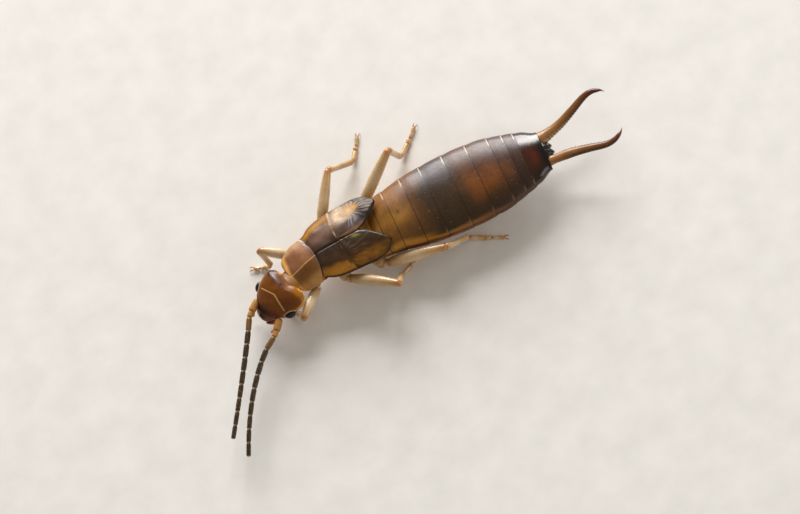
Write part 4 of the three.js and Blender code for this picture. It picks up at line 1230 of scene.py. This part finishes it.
def build_cercus(settings, name, side, material):
    """One arm of the forceps: broad and honey-coloured at its root, thin and dark at its hooked tip."""
    spread = math.tan(CERCUS_SPREAD[name])
    stops = np.array(CERCUS_LINE)
    stops[:, 1] = side * (stops[:, 1] + (stops[:, 0] - ABDOMEN_LENGTH) * spread)
    stops = stops + [RING_GAP / 2, 0, AXIS_HEIGHT]
    stops[0, 0] -= CERCUS_SUNK
    rows, sides = 170, 40
    line = smooth_line(stops, rows)
    share = np.linspace(0, 1, rows)
    size = CERCUS_SIZE(share) * (1 - CERCUS_NARROWER[name] * (1 - smooth(share, 0.02, 0.26)))
    rings = rings_along(line, size, size * 0.85, sides)
    inward = np.sin(np.linspace(0, 2 * math.pi, sides, endpoint=False)) * side
    inner = smooth(inward, 0.55, 0.95)
    toothed = smooth(share, 0.06, 0.12) * (1 - smooth(share, 0.5, 0.62))
    teeth = (0.5 + 0.5 * np.cos(share * 2 * math.pi * TEETH)) * toothed
    out = unit(rings - line[:, None])
    rings = rings + out * (0.018 * teeth[:, None] * inner)[..., None]
    keel = smooth(np.abs(inward), 0.55, 0.85)
    body = colour_along(
        share,
        (0, settings.forceps[:]), (0.15, settings.forceps[:]), (0.38, srgb(142, 92, 36)),
        (0.6, srgb(120, 70, 20)), (0.78, srgb(100, 48, 8)), (0.94, srgb(96, 40, 6)), (1, srgb(170, 110, 60)),
    )
    share, teeth = share[:, None], teeth[:, None]
    colour = coats(
        (rows, sides),
        body[:, None] * np.ones((1, sides, 1)),
        (srgb(36, 16, 4), 0.96 * keel * smooth(share, 0.14, 0.36)),
        (srgb(90, 44, 14), 0.5 * keel * smooth(share, 0.04, 0.12)),
        (srgb(216, 180, 130), 0.5 * inner * smooth(share, 0.03, 0.08) * (1 - smooth(share, 0.3, 0.5))),
        (srgb(60, 30, 12), 0.5 * inner * teeth * smooth(share, 0.06, 0.12)),
        (srgb(40, 18, 10), 0.9 * (1 - smooth(share, 0.0, 0.03))),
    )
    piece = Piece()
    piece.tube(rings, colour)
    return piece.finish("forceps_arm_" + name, material, "cercus", ["cercus_" + name])


def build_tail_plate(material):
    """The small dark plate between the roots of the forceps."""
    across = np.linspace(-1, 1, 61)[:, None]
    along = np.linspace(0, 1, 31)[None, :]
    points = np.maximum(bell(across, 0.42, 0.24), bell(across, -0.42, 0.24))
    x = ABDOMEN_LENGTH - 0.1 + along * (0.33 + 0.09 * points + 0.015 * np.sin(across * 23))
    y = across * (0.38 - 0.06 * along**2) - 0.05
    z = AXIS_HEIGHT + 0.27 - 0.18 * along**2 - 0.07 * across**2 + 0.02 * bell(along, 0.85, 0.1)
    top = np.stack([x, y, z], axis=-1)
    bottom = top - UP * (0.24 - 0.12 * along * np.ones_like(across))[..., None]
    dusky = spot(across, along, (0, 0.6), (0.5, 0.12))
    colour = coats(x.shape, srgb(10, 5, 3), (srgb(50, 22, 10), 0.5 * dusky))
    piece = Piece()
    piece.slab(top, bottom, colour, colour)
    return piece.finish("tail_plate", material, "abdomen_rear", ["pygidium"])


# Bristles: how much they differ in size, and how wide each one's patch of the `OFBake` map is.
BRISTLE_SCALE = {"Min": 0.55, "Max": 1.25}
PATCH_SIZE = 0.003


def bristle_tree():
    """A node tree that sets leaning, tapered bristles on a surface, by its `hair` and `lie` attributes."""
    tree = bpy.data.node_groups.new("bristles", "GeometryNodeTree")
    sockets = tree.interface
    sockets.new_socket("Geometry", in_out="INPUT", socket_type="NodeSocketGeometry")
    for label, kind, value in (
        ("Density", "NodeSocketFloat", 1.0e7),
        ("Length", "NodeSocketFloat", 0.1 * MM),
        ("Thickness", "NodeSocketFloat", 0.008 * MM),
        ("Lean", "NodeSocketFloat", 0.6),
        ("Seed", "NodeSocketInt", 1),
    ):
        sockets.new_socket(label, in_out="INPUT", socket_type=kind).default_value = value
    sockets.new_socket("Material", in_out="INPUT", socket_type="NodeSocketMaterial")
    sockets.new_socket("Geometry", in_out="OUTPUT", socket_type="NodeSocketGeometry")
    given = node(tree, "NodeGroupInput").outputs
    result = node(tree, "NodeGroupOutput")

    def attribute(label, kind):
        return node(tree, "GeometryNodeInputNamedAttribute", (("Name", label),), data_type=kind).outputs[0]

    def math_node(operation, a, b=0.0):
        return node(tree, "ShaderNodeMath", ((0, a), (1, b)), operation=operation).outputs[0]

    def vector(operation, a, b):
        return node(tree, "ShaderNodeVectorMath", ((0, a), (1, b)), operation=operation).outputs[0]

    density = math_node("MULTIPLY", attribute("hair", "FLOAT"), given["Density"])
    spread = node(
        tree,
        "GeometryNodeDistributePointsOnFaces",
        (("Mesh", given["Geometry"]), ("Density", density), ("Seed", given["Seed"])),
        distribute_method="RANDOM",
    ).outputs
    lie = node(tree, "ShaderNodeVectorMath", ((0, attribute("lie", "FLOAT_VECTOR")),), operation="SCALE")
    tree.links.new(given["Lean"], lie.inputs["Scale"])
    way = vector("ADD", spread["Normal"], lie.outputs[0])
    turn = node(tree, "FunctionNodeAlignRotationToVector", (("Vector", way),), axis="Z").outputs[0]
    cone = node(
        tree,
        "GeometryNodeMeshCone",
        (
            ("Vertices", 5),
            ("Side Segments", 3),
            ("Radius Top", 0.0),
            ("Radius Bottom", given["Thickness"]),
            ("Depth", given["Length"]),
        ),
        fill_type="TRIANGLE_FAN",
    ).outputs
    place = node(tree, "GeometryNodeInputPosition").outputs[0]
    height = node(tree, "ShaderNodeSeparateXYZ", (("Vector", place),)).outputs["Z"]
    share = math_node("DIVIDE", height, given["Length"])
    squared = math_node("MULTIPLY", share, share)
    bow = math_node("MULTIPLY", squared, math_node("MULTIPLY", given["Length"], 0.22))
    sunk = math_node("MULTIPLY", given["Length"], -0.06)
    shift = node(tree, "ShaderNodeCombineXYZ", (("X", bow), ("Z", sunk))).outputs[0]
    bent = node(tree, "GeometryNodeSetPosition", (("Geometry", cone["Mesh"]), ("Offset", shift))).outputs[0]
    marked = node(
        tree,
        "GeometryNodeStoreNamedAttribute",
        (("Geometry", bent), ("Name", "patch"), ("Value", cone["UV Map"])),
        data_type="FLOAT2",
        domain="CORNER",
    ).outputs[0]
    size = node(tree, "FunctionNodeRandomValue", (("Seed", given["Seed"]),), data_type="FLOAT")
    for socket in size.inputs:
        if socket.name in BRISTLE_SCALE and socket.type == "VALUE":
            socket.default_value = BRISTLE_SCALE[socket.name]
    scale = next(socket for socket in size.outputs if socket.type == "VALUE")
    set_down = node(
        tree,
        "GeometryNodeInstanceOnPoints",
        (("Points", spread["Points"]), ("Instance", marked), ("Rotation", turn), ("Scale", scale)),
    ).outputs[0]
    solid = node(tree, "GeometryNodeRealizeInstances", (("Geometry", set_down),)).outputs[0]
    centred = vector("SUBTRACT", attribute("patch", "FLOAT_VECTOR"), (0.5, 0.5, 0.0))
    small = node(tree, "ShaderNodeVectorMath", ((0, centred),), operation="SCALE")
    small.inputs["Scale"].default_value = PATCH_SIZE
    baked = vector("ADD", attribute("root_place", "FLOAT_VECTOR"), small.outputs[0])
    mapped = node(
        tree,
        "GeometryNodeStoreNamedAttribute",
        (("Geometry", solid), ("Name", "OFBake"), ("Value", baked)),
        data_type="FLOAT2",
        domain="CORNER",
    ).outputs[0]
    dressed = node(tree, "GeometryNodeSetMaterial", (("Geometry", mapped), ("Material", given["Material"])))
    tree.links.new(dressed.outputs[0], result.inputs[0])
    return tree


def grow_bristles(name, tree, host, hair, settings, material):
    """Grows bristles on a copy of a finished piece, and keeps them as a plain mesh of their own."""
    mesh = host.data.copy()
    points = np.empty(len(mesh.vertices) * 3)
    mesh.vertices.foreach_get("co", points)
    points = points.reshape(-1, 3)
    local = points / MM - ORIGIN
    low, high = points.min(0), points.max(0)
    middle = (low + high) / 2
    around = np.arctan2(points[:, 1] - middle[1], points[:, 2] - middle[2])
    along = (points[:, 0] - low[0]) / (high[0] - low[0])
    roots = np.stack([along, 0.5 + around / (2 * math.pi), 0 * around], axis=1)
    cover, lie = hair(local)
    for label, kind, key, values in (
        ("hair", "FLOAT", "value", cover),
        ("lie", "FLOAT_VECTOR", "vector", lie),
        ("root_place", "FLOAT_VECTOR", "vector", 0.01 + 0.98 * roots),
    ):
        mesh.attributes.new(label, kind, "POINT").data.foreach_set(key, np.asarray(values, float).ravel())
    carrier = bpy.data.objects.new(name + "_carrier", mesh)
    bpy.context.scene.collection.objects.link(carrier)
    modifier = carrier.modifiers.new("bristles", "NODES")
    modifier.node_group = tree
    labels = {item.name: item.identifier for item in tree.interface.items_tree if item.in_out == "INPUT"}
    for label, value in settings.items():
        modifier[labels[label]] = value
    modifier[labels["Material"]] = material
    graph = bpy.context.evaluated_depsgraph_get()
    grown = bpy.data.meshes.new_from_object(carrier.evaluated_get(graph))
    carrier.modifiers.remove(modifier)
    bpy.data.objects.remove(carrier)
    grown.name = name
    for label in ("patch", "root_place", "hair", "lie", "paint"):
        if label in grown.attributes:
            grown.attributes.remove(grown.attributes[label])
    made = bpy.data.objects.new(name, grown)
    bpy.context.scene.collection.objects.link(made)
    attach(made, BODY)
    return made


# The stage.


def area_light(name, place, power, colour):
    """A soft square light that looks at the animal, from a place in the body's millimetres."""
    data = bpy.data.lights.new(name, "AREA")
    data.size = LIGHT_SIZE * MM
    data.energy = power
    data.color = colour
    light = bpy.data.objects.new(name, data)
    bpy.context.scene.collection.objects.link(light)
    light.location = Vector((np.array(place) + ORIGIN) * MM)
    way = Vector((np.array(LIGHT_TARGET) - np.array(place)).tolist())
    light.rotation_mode = "QUATERNION"
    light.rotation_quaternion = way.to_track_quat("-Z", "Y")


def build_floor(settings):
    """A pale matt floor of fine paper under the animal."""
    piece = Piece()
    grid = np.linspace(-1, 1, 3) * FLOOR_HALF
    x, y = np.meshgrid(grid, grid, indexing="ij")
    top = np.stack([x, y, 0 * x], axis=-1)
    mesh = bpy.data.meshes.new("floor")
    piece.slab(top, top - UP * FLOOR_DEPTH, np.ones(top.shape), np.ones(top.shape))
    mesh.from_pydata((np.vstack(piece.points) * MM).tolist(), [], piece.faces)
    floor = bpy.data.objects.new("floor", mesh)
    floor.location.z = cad_box[0].z
    bpy.context.scene.collection.objects.link(floor)
    material = bpy.data.materials.new("floor_paper")
    material.use_nodes = True
    tree = material.node_tree
    shader = tree.nodes["Principled BSDF"]
    place = node(tree, "ShaderNodeTexCoord").outputs["Object"]
    pairs = (("Vector", place), ("Scale", 900.0), ("Detail", 4.0))
    fibre = node(tree, "ShaderNodeTexNoise", pairs).outputs["Fac"]
    shade = graded(tree, fibre, 0.3, 0.7, 0.95, 1.03)
    ground = node(tree, "ShaderNodeRGB").outputs[0]
    ground.default_value = (*settings.floor_colour, 1)
    tree.links.new(multiplied(tree, ground, shade, 1.0), shader.inputs["Base Color"])
    shader.inputs["Roughness"].default_value = 1.0
    shader.inputs["Specular IOR Level"].default_value = 0.0
    mesh.materials.append(material)


def build_light(settings):
    """Soft light from all round, a big low main light and a weaker one."""
    world = bpy.data.worlds.new("studio")
    world.use_nodes = True
    back = world.node_tree.nodes["Background"]
    back.inputs["Color"].default_value = (*settings.air_colour, 1)
    back.inputs["Strength"].default_value = settings.air_strength
    bpy.context.scene.world = world
    area_light("key", KEY_PLACE, settings.key_power, (1.0, 0.98, 0.95))
    area_light("fill", FILL_PLACE, settings.fill_power, (0.98, 0.99, 1.0))


def build_camera(settings):
    """The camera, at the photograph's angle and framing."""
    elevation = settings.elevation
    roll = settings.roll
    back_way = Vector((0, -math.cos(elevation), math.sin(elevation)))
    upright = Vector((0, math.sin(elevation), math.cos(elevation)))
    right = Vector((math.cos(roll), 0, 0)) - upright * math.sin(roll)
    over = Vector((math.sin(roll), 0, 0)) + upright * math.cos(roll)
    lens = bpy.data.cameras.new("camera")
    lens.lens = settings.lens
    lens.sensor_width = SENSOR_WIDTH
    lens.dof.use_dof = False
    camera = bpy.data.objects.new("camera", lens)
    bpy.context.scene.collection.objects.link(camera)
    distance = settings.frame_width * settings.lens / lens.sensor_width
    target = Vector((np.array(CAMERA_TARGET) + ORIGIN) * MM)
    turn = Matrix((right, over, back_way)).transposed()
    camera.matrix_world = Matrix.Translation(target + back_way * distance) @ turn.to_4x4()
    lens.clip_start = distance * 0.05
    lens.clip_end = distance * 20
    bpy.context.scene.camera = camera


# Settings, operators and panel.


def size_property(label, description, millimetres, top):
    """A length that a user may change."""
    return bpy.props.FloatProperty(
        name=label,
        description=description,
        default=millimetres * MM,
        min=0,
        max=top * MM,
        unit="LENGTH",
        precision=6,
    )


def colour_property(label, description, shade):
    """A colour that a user may change."""
    return bpy.props.FloatVectorProperty(
        name=label, description=description, default=shade, size=3, min=0, max=1, subtype="COLOR"
    )


def amount_property(label, description, value, top, **kind):
    """A number that a user may change."""
    return bpy.props.FloatProperty(
        name=label, description=description, default=value, min=0, max=top, **kind
    )


class AbdomenSettings(bpy.types.PropertyGroup):
    """Sizes and colours of the abdomen."""

    lip: size_property("Lip", "How far each ring tucks under the one ahead", 0.012, 0.1)
    bulge: amount_property("Bulge", "How much each ring swells between its joints", 0.004, 0.1)
    amber: colour_property("Amber", "Colour of the first three rings", srgb(158, 108, 40))
    # The slate of the right side is partly painted sheen.
    slate_sheen: colour_property("Slate", "Colour of the middle rings on their right side", srgb(78, 66, 68))
    glow: colour_property("Glow", "Colour of the warm patches along the back", srgb(120, 64, 4))


class ThoraxSettings(bpy.types.PropertyGroup):
    """Colours of the plates, pads and skin of the thorax."""

    skin: colour_property("Skin", "Colour of the soft flanks and neck", srgb(172, 118, 50))
    shield: colour_property("Shield", "Colour of the shield behind the head", srgb(122, 78, 28))
    pad_dark: colour_property("Pad", "Colour of the wing pads towards the middle", srgb(54, 33, 12))
    pad_amber: colour_property("Pad band", "Colour of the clear band along the pads", srgb(154, 100, 22))


class HeadSettings(bpy.types.PropertyGroup):
    """Colours and sizes of the head and antennae."""

    chestnut: colour_property("Chestnut", "Colour of the head capsule", srgb(124, 68, 4))
    eye: colour_property("Eye", "Colour of the eyes' facets", srgb(5, 6, 6))
    mouth_red: colour_property("Lips", "Colour of the lips", srgb(120, 40, 14))
    whip: colour_property("Whip", "Colour of the antennae past their base", srgb(44, 30, 4))
    thickness: size_property("Antenna", "Thickness of an antenna near its base", 0.2, 0.5)


class LimbSettings(bpy.types.PropertyGroup):
    """Colours of the legs and forceps."""

    honey: colour_property("Honey", "Colour of the legs", srgb(200, 164, 108))
    joint: colour_property("Joint", "Colour of the legs' joints", srgb(176, 98, 26))
    forceps: colour_property("Forceps", "Colour of the roots of the forceps", srgb(158, 108, 56))


class BristleSettings(bpy.types.PropertyGroup):
    """Size and number of the bristles."""

    length: size_property("Length", "Length of a bristle on the abdomen", 0.1, 1.0)
    thickness: size_property("Thickness", "Half the thickness of a bristle at its root", 0.004, 0.1)
    crowding: amount_property("Crowding", "Bristles for each square millimetre of the abdomen", 8.0, 200.0)
    seed: bpy.props.IntProperty(name="Seed", description="Seed of the bristles' places", default=7, min=0)


class StageSettings(bpy.types.PropertyGroup):
    """Floor, light and camera."""

    floor_colour: colour_property("Floor", "Colour of the floor", srgb(240, 239, 238))
    air_colour: colour_property("Air", "Colour of the light from all round", srgb(252, 242, 226))
    air_strength: amount_property("Air strength", "Strength of the light from all round", 0.34, 10.0)
    key_power: amount_property("Key", "Power of the main light", 0.8, 100.0, unit="POWER")
    fill_power: amount_property("Fill", "Power of the weaker light", 0.16, 100.0, unit="POWER")
    lens: amount_property("Lens", "Focal length in millimetres", 300.0, 1000.0)
    frame_width: size_property("Frame width", "Width of what the camera sees at the animal", 29.09, 500.0)
    elevation: amount_property(
        "Elevation", "Camera's angle above the floor", math.radians(65), math.pi / 2, subtype="ANGLE"
    )
    roll: amount_property("Roll", "How far the camera leans over", math.radians(25), math.pi, subtype="ANGLE")


class EARWIG_OT_stage(bpy.types.Operator):
    """Set up the floor, the lights and the camera"""

    bl_idname = "earwig.stage"
    bl_label = "Stage"

    def execute(self, context):
        settings = context.scene.earwig_stage
        build_floor(settings)
        build_light(settings)
        build_camera(settings)
        context.scene.view_settings.view_transform = "Standard"
        return {"FINISHED"}


class EARWIG_OT_abdomen(bpy.types.Operator):
    """Build the ringed shell of the abdomen"""

    bl_idname = "earwig.abdomen"
    bl_label = "Abdomen"

    def execute(self, context):
        build_abdomen(context.scene.earwig_abdomen)
        return {"FINISHED"}


class EARWIG_OT_thorax(bpy.types.Operator):
    """Build the skin of the thorax and neck, the shield and the four wing pads"""

    bl_idname = "earwig.thorax"
    bl_label = "Thorax"

    def execute(self, context):
        settings = context.scene.earwig_thorax
        build_skin(settings)
        build_pronotum(settings)
        for name, side in SIDES.items():
            build_fore_pad(settings, name, side)
            build_hind_pad(settings, name, side)
        return {"FINISHED"}


class EARWIG_OT_head(bpy.types.Operator):
    """Build the head capsule, the eyes and the mouth"""

    bl_idname = "earwig.head"
    bl_label = "Head"

    def execute(self, context):
        settings = context.scene.earwig_head
        build_head(settings)
        build_mouth(settings)
        facets = eye_material("eye_facets", settings.eye[:])
        for name, side in SIDES.items():
            build_eye(name, side, facets)
        return {"FINISHED"}


class EARWIG_OT_antennae(bpy.types.Operator):
    """Build both antennae, joint by joint"""

    bl_idname = "earwig.antennae"
    bl_label = "Antennae"

    def execute(self, context):
        shell = shell_material("antenna_shell", "antenna")
        for name, side in SIDES.items():
            build_antenna(context.scene.earwig_head, name, side, shell)
        return {"FINISHED"}


class EARWIG_OT_legs(bpy.types.Operator):
    """Build the six legs with their feet and claws"""

    bl_idname = "earwig.legs"
    bl_label = "Legs"

    def execute(self, context):
        shell = shell_material("leg_shell", "leg")
        for pair in LEGS:
            for name, side in SIDES.items():
                build_leg(context.scene.earwig_limbs, pair, name, side, shell)
        return {"FINISHED"}


class EARWIG_OT_forceps(bpy.types.Operator):
    """Build the two arms of the forceps and the plate between them"""

    bl_idname = "earwig.forceps"
    bl_label = "Forceps"

    def execute(self, context):
        shell = shell_material("forceps_shell", "forceps")
        for name, side in SIDES.items():
            build_cercus(context.scene.earwig_limbs, name, side, shell)
        build_tail_plate(shell)
        return {"FINISHED"}


def towards_tail(local):
    """The way that bristles lie on the body."""
    return np.broadcast_to(np.array([1.0, 0.0, 0.0]), local.shape)


class EARWIG_OT_bristles(bpy.types.Operator):
    """Grow fine bristles on the abdomen, legs, antennae and forceps"""

    bl_idname = "earwig.bristles"
    bl_label = "Bristles"

    def execute(self, context):
        settings = context.scene.earwig_bristles
        tree = bristle_tree()
        fine = shell_material("bristle", "bristle", srgb(214, 178, 124))
        per_mm = 1e6 * settings.crowding

        def ring_edges(local):
            near = np.abs(local[:, :1] - (RING_ENDS[:-1] - 0.12)).min(axis=1)
            upper = smooth(local[:, 2], 0.6, 1.0)
            return 0.25 + 2.4 * bell(near, 0, 0.06) * upper, towards_tail(local)

        def evenly(local):
            return smooth(local[:, 2], 0.2, 0.4), towards_tail(local)

        def outwards(local):
            way = unit(local - np.array([0.0, 0.0, 1.0])) - np.array([0, 0, 0.2])
            return smooth(local[:, 2], 0.12, 0.3), way

        def forwards(local):
            return np.ones(len(local)), -towards_tail(local) - np.array([0, 1.2, 0])

        plans = [("abdomen_shell", ring_edges, 1.0, 1.0, 1.0, "abdomen_middle")]
        for pair in LEGS:
            plans += [(f"leg_{pair}_{name}", outwards, 2.4, 0.75, 1.0, "leg") for name in SIDES]
        for name in SIDES:
            plans.append((f"antenna_whip_{name}", forwards, 8.0, 0.5, 1.2, "antenna_whip"))
            plans.append((f"antenna_base_joints_{name}", forwards, 3.0, 0.5, 1.2, "antenna_base"))
            plans.append((f"forceps_arm_{name}", evenly, 3.0, 0.7, 0.9, "cercus"))
        for index, (host, hair, crowd, length, lean, slot) in enumerate(plans):
            sizes = {
                "Density": per_mm * crowd,
                "Length": settings.length * length,
                "Thickness": settings.thickness * (0.7 + 0.3 * length),
                "Lean": lean,
                "Seed": settings.seed + index,
            }
            grow_bristles("bristles_" + host, tree, bpy.data.objects[host], hair, sizes, fine)
        return {"FINISHED"}


OPERATORS = (
    EARWIG_OT_stage,
    EARWIG_OT_abdomen,
    EARWIG_OT_thorax,
    EARWIG_OT_head,
    EARWIG_OT_antennae,
    EARWIG_OT_legs,
    EARWIG_OT_forceps,
    EARWIG_OT_bristles,
)


class EARWIG_PT_panel(bpy.types.Panel):
    """Lists the parts of the earwig"""

    bl_idname = "EARWIG_PT_panel"
    bl_label = "Earwig"
    bl_space_type = "VIEW_3D"
    bl_region_type = "UI"
    bl_category = "Earwig"

    def draw(self, context):
        for operator in OPERATORS:
            self.layout.operator(operator.bl_idname, text=operator.bl_label)


SETTINGS = {
    "earwig_abdomen": AbdomenSettings,
    "earwig_thorax": ThoraxSettings,
    "earwig_head": HeadSettings,
    "earwig_limbs": LimbSettings,
    "earwig_bristles": BristleSettings,
    "earwig_stage": StageSettings,
}


def register():
    """Registers the settings, the operators and the panel."""
    for kind in (*SETTINGS.values(), *OPERATORS, EARWIG_PT_panel):
        bpy.utils.register_class(kind)
    for name, kind in SETTINGS.items():
        setattr(bpy.types.Scene, name, bpy.props.PointerProperty(type=kind))


def unregister():
    """Takes away what register added."""
    for name in SETTINGS:
        delattr(bpy.types.Scene, name)
    for kind in (EARWIG_PT_panel, *reversed(OPERATORS), *SETTINGS.values()):
        bpy.utils.unregister_class(kind)


def main():
    """Builds the earwig and its stage."""
    register()
    for operator in OPERATORS:
        group, name = operator.bl_idname.split(".")
        getattr(getattr(bpy.ops, group), name)()


if __name__ == "__main__":
    main()
